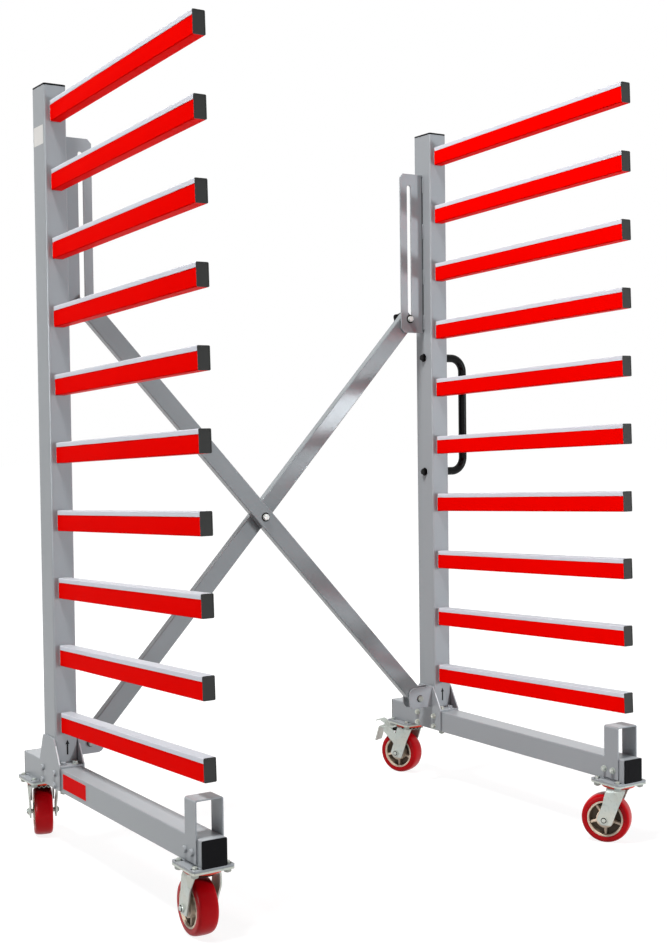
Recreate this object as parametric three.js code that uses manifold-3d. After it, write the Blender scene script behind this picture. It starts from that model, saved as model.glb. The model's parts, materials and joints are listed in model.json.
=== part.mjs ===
// Sheet goods cart: two rolling frames with rows of tilted arms, joined by a folding scissor brace.
// Millimetres, +Z up. The arms point to the front, along -Y, and the left frame is at -X.
import * as THREE from 'three';
import { mergeVertices } from 'three/addons/utils/BufferGeometryUtils.js';
import Module from 'manifold-3d';

const wasm = await Module();
wasm.setup();

// Whole cart
const FRAME_SPACING = 1214;      // post centre to post centre, brace fully spread
const FIT = 0.3;                 // gap between pieces that are bolted, welded or plugged together
const WELD = 0.5;                // depth that welded plates sink into each other

// Posts
const POST_WIDTH = 60;
const POST_DEPTH = 80;
const POST_WALL = 3;
const POST_CORNER = 5;
const POST_ABOVE_TOP_ARM = 39;   // tube left above the top arm
const POST_CAP_THICKNESS = 3;
const PLUG_INSERT = 18;          // how far a cap or plug reaches into its tube

// Base tubes
const BASE_WIDTH = 60;
const BASE_HEIGHT = 60;
const BASE_WALL = 3;
const BASE_CORNER = 3;
const BASE_FRONT_REACH = 798;    // tube end ahead of the post's front face
const BASE_REAR_REACH = 223;     // tube end behind the post's front face
const BASE_PLUG_THICKNESS = 3.5;

// Arms
const ARM_COUNT = 10;
const ARM_PITCH = 173;
const ARM_LENGTH = 786;
const ARM_WIDTH = 30;
const ARM_HEIGHT = 52.5;         // tube and wear strip
const ARM_WALL = 2;
const ARM_PLUG_THICKNESS = 8;    // closed end at the tip
const ARM_TILT = 2.3;            // degrees, tip up
const LOWEST_ARM_GAP = 85.5;     // base top to the underside of the lowest arm at the post

// Scissor brace
const PIVOT_OFFSET = 51.5;       // pivot and slide bolts from the post's inner face
const PIVOT_ABOVE_BASE = 40.5;
const BRACE_RISE = 1143;         // slide bolt above the lower pivot, brace fully spread
const FOLD_ANGLE = 34;           // degrees that a bar turns from spread to folded
const BAR_WIDTH = 50;
const BAR_DEPTH = 25;
const BAR_WALL = 2;
const BAR_CORNER = 3;
const BAR_OVERHANG = 14;         // bar beyond its end bolts
const BRACE_GAP = 0.5;           // running gap between bars, plates and bolt heads
const BRACE_BOLT_DIAMETER = 12;
const BOLT_RUNNING_GAP = 0.4;    // radial gap of a bolt in a hole that turns on it
const BOLT_HEAD_DIAMETER = 22;   // across the corners
const BOLT_HEAD_HEIGHT = 8;
const SPACER_DIAMETER = 30;      // washer between the bars at their crossing
const KNOB_DIAMETER = 50;        // hand knob behind each slide bolt
const KNOB_THICKNESS = 20;

// Slot plates and pivot lugs
const BRACE_PLATE = 5;           // thickness of slot plates and lugs
const SLOT_PLATE_WIDTH = 82.5;
const SLOT_CLEARANCE = 1;        // slide bolt to the slot's edges and ends
const SLOT_END_MARGIN = 34;      // plate beyond the slot's ends
const SLOT_PLATE_CHAMFER = 10;
const LUG_REACH = 38;            // lug beyond its bolt
const LUG_ABOVE = 33;
const LUG_BELOW = 28;
const LUG_CORNER = 18;

// Post shoes
const SHOE_PLATE = 4.5;
const SHOE_FOOT_AHEAD = 72;      // foot ahead of the post's middle
const SHOE_FOOT_BEHIND = 60.5;
const SHOE_TOP_LENGTH = 78;
const SHOE_RISE = 73;            // above the base top
const SHOE_SHOULDER = 6;         // where the slanted edges start, above the base top
const SHOE_DROP = 56;            // below the base top
const SHOE_CORNER = 9;
const SHOE_LEDGE = 5;            // plate under the post

// Stop brackets over the front of the base tubes
const STOP_THICKNESS = 3.5;
const STOP_LENGTH = 50;
const STOP_RISE = 82;            // above the base top
const STOP_DROP = 53;            // below the base top
const STOP_SETBACK = 18;         // behind the tube's front end
const STOP_CORNER = 5;

// Pull handle on the right post
const HANDLE_DIAMETER = 22;
const HANDLE_SPAN = 345;         // leg to leg
const HANDLE_REACH = 87.5;       // post face to the grip's centre
const HANDLE_BEND = 40;
const HANDLE_HEIGHT = 1122;      // grip's middle above the floor

// Casters
const CASTER_SETBACK = 51;       // swivel axis from the tube's end
const MOUNT_PLATE = 5;           // plate welded under the base tube
const CASTER_PLATE = 5;
const CASTER_PLATE_LENGTH = 100; // across the tube
const CASTER_PLATE_WIDTH = 105;  // along the tube
const RACE_DIAMETER = 84;
const RACE_HEIGHT = 9;
const CROWN_DIAMETER = 66;
const CROWN_THICKNESS = 6;
const CROWN_CLEARANCE = 13.5;    // wheel top to the crown's underside
const TRAIL = 31;                // swivel axis to axle
const FORK_LEG = 4.5;
const FORK_TOP_FRONT = 16;       // leg ahead of the swivel axis, at the crown
const FORK_TOP_BACK = 26;        // leg behind the swivel axis, at the crown
const FORK_TOE_FRONT = 18.5;     // flat toe ahead of the axle
const FORK_TOE_BACK = 7;         // flat toe behind the axle
const FORK_TOE_DROP = 14;        // toe below the axle
const FORK_HEEL_OUT = 19.5;      // heel behind the axle
const FORK_HEEL_DROP = 1;        // heel below the axle
const FORK_SIDE_GAP = 3;         // tread to fork leg
const AXLE_DIAMETER = 12;
const AXLE_HEAD_DIAMETER = 21;
const AXLE_HEAD_HEIGHT = 12;
const WHEEL_DIAMETER = 127;
const TREAD_WIDTH = 48;
const TREAD_FLAT = 22;           // width of the tread that meets the floor
const TREAD_SHOULDER_DROP = 1.6; // from the flat to the shoulder
const TREAD_SHOULDER = 4.5;      // shoulder's size
const CORE_DIAMETER = 94;        // where tread and core meet
const RIM_THICKNESS = 4.5;
const RIM_WIDTH = 44;
const HUB_DIAMETER = 42;
const HUB_END_GAP = 1;           // hub end to fork leg
const SPOKE_COUNT = 5;
const SPOKE_WIDTH = 8;
const SPOKE_DEPTH = 34;
const WEB_THICKNESS = 10;
const SWIVEL_ANGLES = {          // degrees from +X to the direction that the wheel trails
  front_left: 87,
  rear_left: 72,
  front_right: 125,
  rear_right: 113,
};

// Brake pedals on the rear casters
const PEDAL_PIVOT_OUT = 38;      // behind the axle
const PEDAL_PIVOT_DROP = 13;     // below the crown's top
const PEDAL_PIN_DIAMETER = 8;
const PEDAL_WIDTH = 36;
const PEDAL_SHEET = 4;
const PEDAL_BACK = 16;           // pedal ahead of its pin
const KNEE_OUT = 35;             // bend of the lower tab, from the pin
const KNEE_RISE = 4;
const LOWER_TAB_OUT = 50;        // lower tab's end, from the pin
const LOWER_TAB_FALL = 43;
const NECK_OUT = 4;              // where the upper tab leaves the sheet, from the pin
const SHELF_OUT = 20;            // where the upper tab levels out, from the pin
const SHELF_RISE = 18.5;
const PEAK_OUT = 34;             // bend of the upper tab, from the pin
const PEAK_RISE = 25;
const UPPER_TAB_OUT = 49;        // upper tab's end, from the pin
const UPPER_TAB_RISE = 20;
const WING_MARGIN = 9;           // fork wing around the pedal's pin
const WING_ROOT = 33;            // where the wing leaves the leg, above the axle

// Facets on round pieces
const BOLT_SIDES = 16;
const TREAD_SIDES = 32;
const CORE_SIDES = 20;
const SWIVEL_SIDES = 24;
const ARC_SIDES = 2;             // half the facets of each rounded corner
const HANDLE_STEPS = 34;
const HANDLE_ARC_SIDES = 5;
const HEX = 6;

// Heights above the floor
const AXLE_HEIGHT = WHEEL_DIAMETER / 2;
const CROWN_BOTTOM = WHEEL_DIAMETER + CROWN_CLEARANCE;
const CROWN_TOP = CROWN_BOTTOM + CROWN_THICKNESS;
const RACE_BOTTOM = CROWN_TOP + FIT;
const CASTER_PLATE_BOTTOM = RACE_BOTTOM + RACE_HEIGHT;
const CASTER_PLATE_TOP = CASTER_PLATE_BOTTOM + CASTER_PLATE;
const MOUNT_PLATE_TOP = CASTER_PLATE_TOP + FIT + MOUNT_PLATE;
const BASE_BOTTOM = MOUNT_PLATE_TOP + FIT;
const BASE_TOP = BASE_BOTTOM + BASE_HEIGHT;
const POST_BOTTOM = BASE_TOP + SHOE_LEDGE + 2 * FIT;
const TILT = THREE.MathUtils.degToRad(ARM_TILT);
const LOWEST_ARM_TOP = BASE_TOP + LOWEST_ARM_GAP + ARM_HEIGHT / Math.cos(TILT);
const TOP_ARM_TOP = LOWEST_ARM_TOP + (ARM_COUNT - 1) * ARM_PITCH;
const POST_TOP = TOP_ARM_TOP + POST_ABOVE_TOP_ARM;
const PIVOT_HEIGHT = BASE_TOP + PIVOT_ABOVE_BASE;

// Places along Y: the posts' front faces are at zero
const BRACE_PLANE = POST_DEPTH / 2;
const BASE_FRONT = -BASE_FRONT_REACH;
const FRONT_CASTER_Y = BASE_FRONT + CASTER_SETBACK;
const REAR_CASTER_Y = BASE_REAR_REACH - CASTER_SETBACK;
const BAR_NEAR = BRACE_PLATE / 2 + BRACE_GAP;   // from the brace plane to a bar
const BAR_FAR = BAR_NEAR + BAR_DEPTH;
const OUTER_LUG_NEAR = BAR_FAR + BRACE_GAP;
const OUTER_LUG_FAR = OUTER_LUG_NEAR + BRACE_PLATE;

// Brace geometry: the lower pivots and the slide bolts lie on one upright line at each post
const PIVOT_INSET = POST_WIDTH / 2 + PIVOT_OFFSET;
const PIVOT_SPAN = FRAME_SPACING - 2 * PIVOT_INSET;
const BAR_LENGTH = Math.hypot(PIVOT_SPAN, BRACE_RISE);
const SPREAD_ANGLE = Math.atan2(BRACE_RISE, PIVOT_SPAN);
const FOLDED_ANGLE = SPREAD_ANGLE + THREE.MathUtils.degToRad(FOLD_ANGLE);
const SLIDE_TRAVEL = BAR_LENGTH * Math.sin(FOLDED_ANGLE) - BRACE_RISE;
const SLIDE_HEIGHT = PIVOT_HEIGHT + BRACE_RISE;
const SHOE_INNER = Math.max(BASE_WIDTH, POST_WIDTH) / 2 + FIT;
const SHOE_OUTER = SHOE_INNER + SHOE_PLATE;

// Finishes
const GREY_PAINT = { color: 0x9a9fa4, roughness: 0.42, metalness: 0.25 };
const RED_PAINT = { color: 0xd8140e, roughness: 0.4, metalness: 0.05 };
const BLACK_PLASTIC = { color: 0x1c1c1e, roughness: 0.6, metalness: 0 };
const BLACK_PAINT = { color: 0x101012, roughness: 0.25, metalness: 0.1 };
const ZINC = { color: 0xbcc4c0, roughness: 0.35, metalness: 0.85 };
const CREAM_CORE = { color: 0xc9b9a6, roughness: 0.55, metalness: 0 };
const RED_TREAD = { color: 0xa01018, roughness: 0.4, metalness: 0 };

// A closed mesh with shared corners and no empty triangles.
function closed(geometry) {
  geometry.deleteAttribute('normal');
  geometry.deleteAttribute('uv');
  const merged = mergeVertices(geometry);
  const corners = [];
  for (let i = 0; i < merged.index.count; i += 3) {
    const [a, b, c] = [0, 1, 2].map((k) => merged.index.getX(i + k));
    if (a !== b && b !== c && c !== a) {
      corners.push(a, b, c);
    }
  }
  merged.setIndex(corners);
  return merged;
}

function solid(geometry) {
  const mesh = closed(geometry);
  const vertProperties = new Float32Array(mesh.attributes.position.array);
  const triVerts = new Uint32Array(mesh.index.array);
  return new wasm.Manifold(new wasm.Mesh({ numProp: 3, vertProperties, triVerts }));
}

function surface(body) {
  const mesh = body.getMesh();
  const geometry = new THREE.BufferGeometry();
  geometry.setAttribute('position', new THREE.BufferAttribute(mesh.vertProperties, 3));
  geometry.setIndex(new THREE.BufferAttribute(mesh.triVerts, 1));
  return geometry;
}

function joined(first, ...others) {
  return surface(others.reduce((sum, next) => sum.add(solid(next)), solid(first)));
}

function cut(base, ...tools) {
  return surface(tools.reduce((rest, tool) => rest.subtract(solid(tool)), solid(base)));
}

function outline(points) {
  return new THREE.Shape(points.map(([u, v]) => new THREE.Vector2(u, v)));
}

// A rectangle between two corners with its corners rounded.
function roundedRectangle(low, high, radius) {
  const shape = new THREE.Shape();
  const quarter = Math.PI / 2;
  shape.absarc(high[0] - radius, high[1] - radius, radius, 0, quarter);
  shape.absarc(low[0] + radius, high[1] - radius, radius, quarter, 2 * quarter);
  shape.absarc(low[0] + radius, low[1] + radius, radius, 2 * quarter, 3 * quarter);
  shape.absarc(high[0] - radius, low[1] + radius, radius, 3 * quarter, 4 * quarter);
  shape.closePath();
  return shape;
}

function tubeSection(width, height, wall, corner) {
  const section = roundedRectangle([-width / 2, -height / 2], [width / 2, height / 2], corner);
  const inner = [width / 2 - wall, height / 2 - wall];
  const innerCorner = Math.max(corner - wall, wall / 2);
  section.holes.push(roundedRectangle([-inner[0], -inner[1]], inner, innerCorner));
  return section;
}

function extruded(shape, depth) {
  return new THREE.ExtrudeGeometry(shape, { depth, bevelEnabled: false, curveSegments: ARC_SIDES });
}

// Extrusions of an outline in the plane named, between two places on the third axis.
function alongX(shape, from, to) {
  const axes = [[0, 1, 0], [0, 0, 1], [1, 0, 0]].map((axis) => new THREE.Vector3(...axis));
  const turn = new THREE.Matrix4().makeBasis(...axes);
  return extruded(shape, to - from).applyMatrix4(turn).translate(from, 0, 0);
}

function alongY(shape, from, to) {
  return extruded(shape, to - from).rotateX(Math.PI / 2).translate(0, to, 0);
}

function alongZ(shape, from, to) {
  return extruded(shape, to - from).translate(0, 0, from);
}

function block([x0, x1], [y0, y1], [z0, z1]) {
  const box = new THREE.BoxGeometry(x1 - x0, y1 - y0, z1 - z0);
  return box.translate((x0 + x1) / 2, (y0 + y1) / 2, (z0 + z1) / 2);
}

// A round or hexagonal bar along Y.
function barAlongY(diameter, from, to, sides = BOLT_SIDES) {
  const bar = new THREE.CylinderGeometry(diameter / 2, diameter / 2, to - from, sides);
  return bar.translate(0, (from + to) / 2, 0);
}

function disc(diameter, from, to) {
  const round = new THREE.CylinderGeometry(diameter / 2, diameter / 2, to - from, SWIVEL_SIDES);
  return round.rotateX(Math.PI / 2).translate(0, 0, (from + to) / 2);
}

const cart = new THREE.Group();

function place(parent, name, geometry, finish) {
  const mesh = new THREE.Mesh(closed(geometry), new THREE.MeshStandardMaterial(finish));
  mesh.name = name;
  parent.add(mesh);
  return mesh;
}

// One arm: a square-cut tube, tilted up, mitred to the post's front face and closed at its tip.
function arm(top) {
  const along = new THREE.Vector2(-Math.cos(TILT), Math.sin(TILT));
  const down = new THREE.Vector2(-Math.sin(TILT), -Math.cos(TILT));
  const line = (inset, start, length) => {
    const upper = new THREE.Vector2(start, top - (inset + start * Math.sin(TILT)) / Math.cos(TILT));
    const tip = upper.clone().addScaledVector(along, length + start);
    const drop = ARM_HEIGHT - 2 * inset;
    const tipBelow = tip.clone().addScaledVector(down, drop);
    const lower = new THREE.Vector2(start, upper.y - drop / Math.cos(TILT));
    return new THREE.Shape([upper, tip, tipBelow, lower]);
  };
  const half = ARM_WIDTH / 2;
  const inner = half - ARM_WALL;
  const tube = alongX(line(0, -FIT, ARM_LENGTH), -half, half);
  const bore = alongX(line(ARM_WALL, 0, ARM_LENGTH - ARM_PLUG_THICKNESS), -inner, inner);
  return cut(tube, bore);
}

function post() {
  return alongZ(tubeSection(POST_WIDTH, POST_DEPTH, POST_WALL, POST_CORNER), POST_BOTTOM, POST_TOP);
}

// A flanged cap or plug, drawn across the tube and reaching into it.
function plugSection(width, height, wall, corner) {
  const outer = roundedRectangle([-width / 2, -height / 2], [width / 2, height / 2], corner);
  const inset = wall + FIT;
  const half = [width / 2 - inset, height / 2 - inset];
  const stem = roundedRectangle([-half[0], -half[1]], half, Math.max(corner - inset, wall / 2));
  return { outer, stem };
}

function postCap() {
  const { outer, stem } = plugSection(POST_WIDTH, POST_DEPTH, POST_WALL, POST_CORNER);
  const seat = POST_TOP + FIT;
  const flange = alongZ(outer, seat, seat + POST_CAP_THICKNESS);
  return joined(flange, alongZ(stem, seat - PLUG_INSERT, seat + WELD));
}

function basePlug() {
  const { outer, stem } = plugSection(BASE_WIDTH, BASE_HEIGHT, BASE_WALL, BASE_CORNER);
  const seat = BASE_FRONT - FIT;
  const flange = alongY(outer, seat - BASE_PLUG_THICKNESS, seat);
  return joined(flange, alongY(stem, seat - WELD, seat + PLUG_INSERT));
}

// The base tube with the two plates that are welded under it for the casters.
function baseTube() {
  const section = tubeSection(BASE_WIDTH, BASE_HEIGHT, BASE_WALL, BASE_CORNER);
  const tube = alongY(section, BASE_FRONT, BASE_REAR_REACH).translate(0, 0, BASE_TOP - BASE_HEIGHT / 2);
  const seam = BASE_WIDTH / 2 - BASE_CORNER;
  const plates = [FRONT_CASTER_Y, REAR_CASTER_Y].flatMap((y) => {
    const [front, rear] = [y - CASTER_PLATE_WIDTH / 2, y + CASTER_PLATE_WIDTH / 2];
    const across = [-CASTER_PLATE_LENGTH / 2, CASTER_PLATE_LENGTH / 2];
    const underTube = [Math.max(front, BASE_FRONT), Math.min(rear, BASE_REAR_REACH)];
    return [
      block(across, [front, rear], [MOUNT_PLATE_TOP - MOUNT_PLATE, MOUNT_PLATE_TOP]),
      block([-seam, seam], underTube, [MOUNT_PLATE_TOP - WELD, BASE_BOTTOM + WELD]),
    ];
  });
  return joined(tube, ...plates);
}

// Side plates over the base tube, the ledge that carries the post, and a fork of two lugs.
// inward is +1 where the other frame is at +X, and forkSide says which side of the brace plane is forked.
function postShoe(inward, forkSide) {
  const middle = POST_DEPTH / 2;
  const [toe, heel] = [middle - SHOE_FOOT_AHEAD, middle + SHOE_FOOT_BEHIND];
  const head = SHOE_TOP_LENGTH / 2;
  const side = outline([
    [toe, BASE_TOP - SHOE_DROP],
    [heel, BASE_TOP - SHOE_DROP],
    [heel, BASE_TOP + SHOE_SHOULDER],
    [middle + head, BASE_TOP + SHOE_RISE - SHOE_CORNER],
    [middle + head - SHOE_CORNER, BASE_TOP + SHOE_RISE],
    [middle - head + SHOE_CORNER, BASE_TOP + SHOE_RISE],
    [middle - head, BASE_TOP + SHOE_RISE - SHOE_CORNER],
    [toe, BASE_TOP + SHOE_SHOULDER],
  ]);
  const ledge = block(
    [-SHOE_INNER - WELD, SHOE_INNER + WELD],
    [toe, heel],
    [BASE_TOP + FIT, BASE_TOP + FIT + SHOE_LEDGE],
  );
  const outerLug = forkSide * (OUTER_LUG_NEAR + BRACE_PLATE / 2);
  const lugs = [0, outerLug].map((step) => lug(inward, BRACE_PLANE + step));
  return joined(
    ledge,
    alongX(side, SHOE_INNER, SHOE_OUTER),
    alongX(side, -SHOE_OUTER, -SHOE_INNER),
    ...lugs,
  );
}

function lug(inward, plane) {
  const root = SHOE_OUTER - WELD;
  const end = PIVOT_INSET + LUG_REACH;
  const [low, high] = [PIVOT_HEIGHT - LUG_BELOW, PIVOT_HEIGHT + LUG_ABOVE];
  const shape = outline([[root, low], [end - LUG_CORNER, low]]);
  shape.absarc(end - LUG_CORNER, low + LUG_CORNER, LUG_CORNER, -Math.PI / 2, 0);
  shape.absarc(end - LUG_CORNER, high - LUG_CORNER, LUG_CORNER, 0, Math.PI / 2);
  shape.lineTo(root, high);
  const plate = alongY(shape, plane - BRACE_PLATE / 2, plane + BRACE_PLATE / 2);
  const hole = barAlongY(BRACE_BOLT_DIAMETER + 2 * FIT, plane - BRACE_PLATE, plane + BRACE_PLATE);
  const drilled = cut(plate, hole.translate(PIVOT_INSET, 0, PIVOT_HEIGHT));
  return inward > 0 ? drilled : drilled.rotateZ(Math.PI).translate(0, 2 * plane, 0);
}

function slotPlate(inward) {
  const root = POST_WIDTH / 2 + FIT;
  const end = root + SLOT_PLATE_WIDTH;
  const radius = BRACE_BOLT_DIAMETER / 2 + SLOT_CLEARANCE;
  const slotLow = SLIDE_HEIGHT;
  const slotHigh = SLIDE_HEIGHT + SLIDE_TRAVEL;
  const low = slotLow - radius - SLOT_END_MARGIN;
  const high = slotHigh + radius + SLOT_END_MARGIN;
  const shape = outline([
    [root, low],
    [end - SLOT_PLATE_CHAMFER, low],
    [end, low + SLOT_PLATE_CHAMFER],
    [end, high - SLOT_PLATE_CHAMFER],
    [end - SLOT_PLATE_CHAMFER, high],
    [root, high],
  ]);
  const slot = new THREE.Path();
  slot.absarc(PIVOT_INSET, slotHigh, radius, 0, Math.PI);
  slot.absarc(PIVOT_INSET, slotLow, radius, Math.PI, 2 * Math.PI);
  shape.holes.push(slot);
  const plate = alongY(shape, -BRACE_PLATE / 2, BRACE_PLATE / 2);
  return (inward > 0 ? plate : plate.rotateZ(Math.PI)).translate(0, BRACE_PLANE, 0);
}

function stopBracket() {
  const inner = BASE_WIDTH / 2 + FIT;
  const outer = inner + STOP_THICKNESS;
  const [low, high] = [BASE_TOP - STOP_DROP, BASE_TOP + STOP_RISE];
  const shape = outline([[inner, low], [outer, low], [outer, high - STOP_CORNER]]);
  shape.absarc(outer - STOP_CORNER, high - STOP_CORNER, STOP_CORNER, 0, Math.PI / 2);
  shape.absarc(STOP_CORNER - outer, high - STOP_CORNER, STOP_CORNER, Math.PI / 2, Math.PI);
  shape.lineTo(-outer, low);
  shape.lineTo(-inner, low);
  shape.lineTo(-inner, high - STOP_THICKNESS);
  shape.lineTo(inner, high - STOP_THICKNESS);
  const front = BASE_FRONT + STOP_SETBACK;
  return alongY(shape, front, front + STOP_LENGTH);
}

// A bent round bar on the right post's outer face.
function handle() {
  const face = POST_WIDTH / 2 + FIT;
  const grip = POST_WIDTH / 2 + HANDLE_REACH;
  const half = HANDLE_SPAN / 2;
  const point = (x, z) => new THREE.Vector3(x, POST_DEPTH / 2, HANDLE_HEIGHT + z);
  const route = new THREE.CurvePath();
  route.add(new THREE.LineCurve3(point(face, -half), point(grip - HANDLE_BEND, -half)));
  route.add(new THREE.QuadraticBezierCurve3(
    point(grip - HANDLE_BEND, -half), point(grip, -half), point(grip, HANDLE_BEND - half)));
  route.add(new THREE.LineCurve3(point(grip, HANDLE_BEND - half), point(grip, half - HANDLE_BEND)));
  route.add(new THREE.QuadraticBezierCurve3(
    point(grip, half - HANDLE_BEND), point(grip, half), point(grip - HANDLE_BEND, half)));
  route.add(new THREE.LineCurve3(point(grip - HANDLE_BEND, half), point(face, half)));
  const section = new THREE.Shape().absarc(0, 0, HANDLE_DIAMETER / 2, 0, 2 * Math.PI);
  return new THREE.ExtrudeGeometry(section, {
    steps: HANDLE_STEPS, extrudePath: route, curveSegments: HANDLE_ARC_SIDES, bevelEnabled: false,
  });
}

// A bolt along Y with a hexagonal head in front and a nut behind.
function bolt(from, to) {
  return joined(
    barAlongY(BRACE_BOLT_DIAMETER, from - WELD, to + WELD),
    barAlongY(BOLT_HEAD_DIAMETER, from - BOLT_HEAD_HEIGHT, from, HEX),
    barAlongY(BOLT_HEAD_DIAMETER, to, to + BOLT_HEAD_HEIGHT, HEX),
  );
}

// A bolt whose nut behind carries a hand knob.
function knobBolt(from, to) {
  const seat = to + BOLT_HEAD_HEIGHT;
  return joined(bolt(from, to), barAlongY(KNOB_DIAMETER, seat - WELD, seat + KNOB_THICKNESS));
}

function crossingBolt() {
  const reach = BAR_FAR + BRACE_GAP;
  const washer = BRACE_PLATE / 2;
  return joined(bolt(-reach, reach), barAlongY(SPACER_DIAMETER, -washer, washer));
}

// A brace bar with its lower bolt at the origin, drawn along +X, between two places on Y.
function braceBar(near, far) {
  const section = tubeSection(far - near, BAR_WIDTH, BAR_WALL, BAR_CORNER);
  const tube = alongX(section, -BAR_OVERHANG, BAR_LENGTH + BAR_OVERHANG);
  tube.translate(0, (near + far) / 2, 0);
  const bore = BRACE_BOLT_DIAMETER + 2 * BOLT_RUNNING_GAP;
  const holes = [0, BAR_LENGTH / 2, BAR_LENGTH].map((x) => (
    barAlongY(bore, near - BAR_WALL, far + BAR_WALL).translate(x, 0, 0)));
  return cut(tube, ...holes);
}

// Caster pieces, with the swivel axis at the origin and the wheel trailing along +X.
function casterPlate() {
  const half = [CASTER_PLATE_LENGTH / 2, CASTER_PLATE_WIDTH / 2];
  return joined(
    block([-half[0], half[0]], [-half[1], half[1]], [CASTER_PLATE_BOTTOM, CASTER_PLATE_TOP]),
    disc(RACE_DIAMETER, RACE_BOTTOM, CASTER_PLATE_BOTTOM + WELD),
  );
}

const LEG_NEAR = TREAD_WIDTH / 2 + FORK_SIDE_GAP;
const LEG_FAR = LEG_NEAR + FORK_LEG;
const PEDAL_PIVOT = [TRAIL + PEDAL_PIVOT_OUT, CROWN_TOP - PEDAL_PIVOT_DROP];

function forkLegOutline(braked) {
  const toe = AXLE_HEIGHT - FORK_TOE_DROP;
  const heel = [TRAIL + FORK_HEEL_OUT, AXLE_HEIGHT - FORK_HEEL_DROP];
  const leg = [
    [-FORK_TOP_FRONT, CROWN_TOP],
    [-FORK_TOP_FRONT, CROWN_BOTTOM],
    [TRAIL - FORK_TOE_FRONT, toe],
    [TRAIL + FORK_TOE_BACK, toe],
    heel,
  ];
  if (!braked) {
    return outline([...leg, [FORK_TOP_BACK, CROWN_BOTTOM], [FORK_TOP_BACK, CROWN_TOP]]);
  }
  const root = AXLE_HEIGHT + WING_ROOT;
  const rise = (root - heel[1]) / (CROWN_BOTTOM - heel[1]);
  const end = PEDAL_PIVOT[0] + WING_MARGIN;
  return outline([
    ...leg,
    [THREE.MathUtils.lerp(heel[0], FORK_TOP_BACK, rise), root],
    [end, PEDAL_PIVOT[1] - WING_MARGIN],
    [end, PEDAL_PIVOT[1] + WING_MARGIN],
    [FORK_TOP_BACK, CROWN_TOP],
  ]);
}

function fork(braked) {
  const leg = forkLegOutline(braked);
  const axle = [
    barAlongY(AXLE_DIAMETER, -LEG_FAR - WELD, LEG_FAR + WELD),
    barAlongY(AXLE_HEAD_DIAMETER, -LEG_FAR - AXLE_HEAD_HEIGHT, -LEG_FAR + WELD, HEX),
    barAlongY(AXLE_HEAD_DIAMETER, LEG_FAR - WELD, LEG_FAR + AXLE_HEAD_HEIGHT, HEX),
  ].map((piece) => piece.translate(TRAIL, 0, AXLE_HEIGHT));
  const yoke = joined(
    disc(CROWN_DIAMETER, CROWN_BOTTOM, CROWN_TOP),
    alongY(leg, LEG_NEAR, LEG_FAR),
    alongY(leg, -LEG_FAR, -LEG_NEAR),
    ...axle,
  );
  const pinHole = barAlongY(PEDAL_PIN_DIAMETER + 2 * BOLT_RUNNING_GAP, -LEG_FAR - WELD, LEG_FAR + WELD);
  return braked ? cut(yoke, pinHole.translate(PEDAL_PIVOT[0], 0, PEDAL_PIVOT[1])) : yoke;
}

function treadRing() {
  const [inner, outer] = [CORE_DIAMETER / 2, WHEEL_DIAMETER / 2];
  const half = TREAD_WIDTH / 2;
  const shoulder = outer - TREAD_SHOULDER_DROP;
  const lower = [
    [inner, -half],
    [shoulder - TREAD_SHOULDER, -half],
    [shoulder, TREAD_SHOULDER - half],
    [outer, -TREAD_FLAT / 2],
  ];
  const upper = lower.map(([r, y]) => [r, -y]).reverse();
  const points = [...lower, ...upper, lower[0]].map(([r, y]) => new THREE.Vector2(r, y));
  return new THREE.LatheGeometry(points, TREAD_SIDES).rotateY(Math.PI / TREAD_SIDES);
}

// Rim, web, spokes and hub moulded in one, bored for the axle.
function wheelCore() {
  const rimOuter = CORE_DIAMETER / 2 - FIT;
  const rimInner = rimOuter - RIM_THICKNESS;
  const hubHalf = LEG_NEAR - HUB_END_GAP;
  const rim = cut(
    barAlongY(2 * rimOuter, -RIM_WIDTH / 2, RIM_WIDTH / 2, CORE_SIDES),
    barAlongY(2 * rimInner, -RIM_WIDTH, RIM_WIDTH, CORE_SIDES),
  );
  const web = barAlongY(2 * rimInner + 2 * WELD, -WEB_THICKNESS / 2, WEB_THICKNESS / 2, CORE_SIDES);
  const spokes = Array.from({ length: SPOKE_COUNT }, (_, i) => (
    block([0, rimInner + WELD], [-SPOKE_DEPTH / 2, SPOKE_DEPTH / 2], [-SPOKE_WIDTH / 2, SPOKE_WIDTH / 2])
      .rotateY((2 * Math.PI * i) / SPOKE_COUNT)));
  const hub = barAlongY(HUB_DIAMETER, -hubHalf, hubHalf, CORE_SIDES);
  const bore = barAlongY(AXLE_DIAMETER + 2 * BOLT_RUNNING_GAP, -LEG_FAR, LEG_FAR);
  return cut(joined(rim, web, hub, ...spokes), bore);
}

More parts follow.
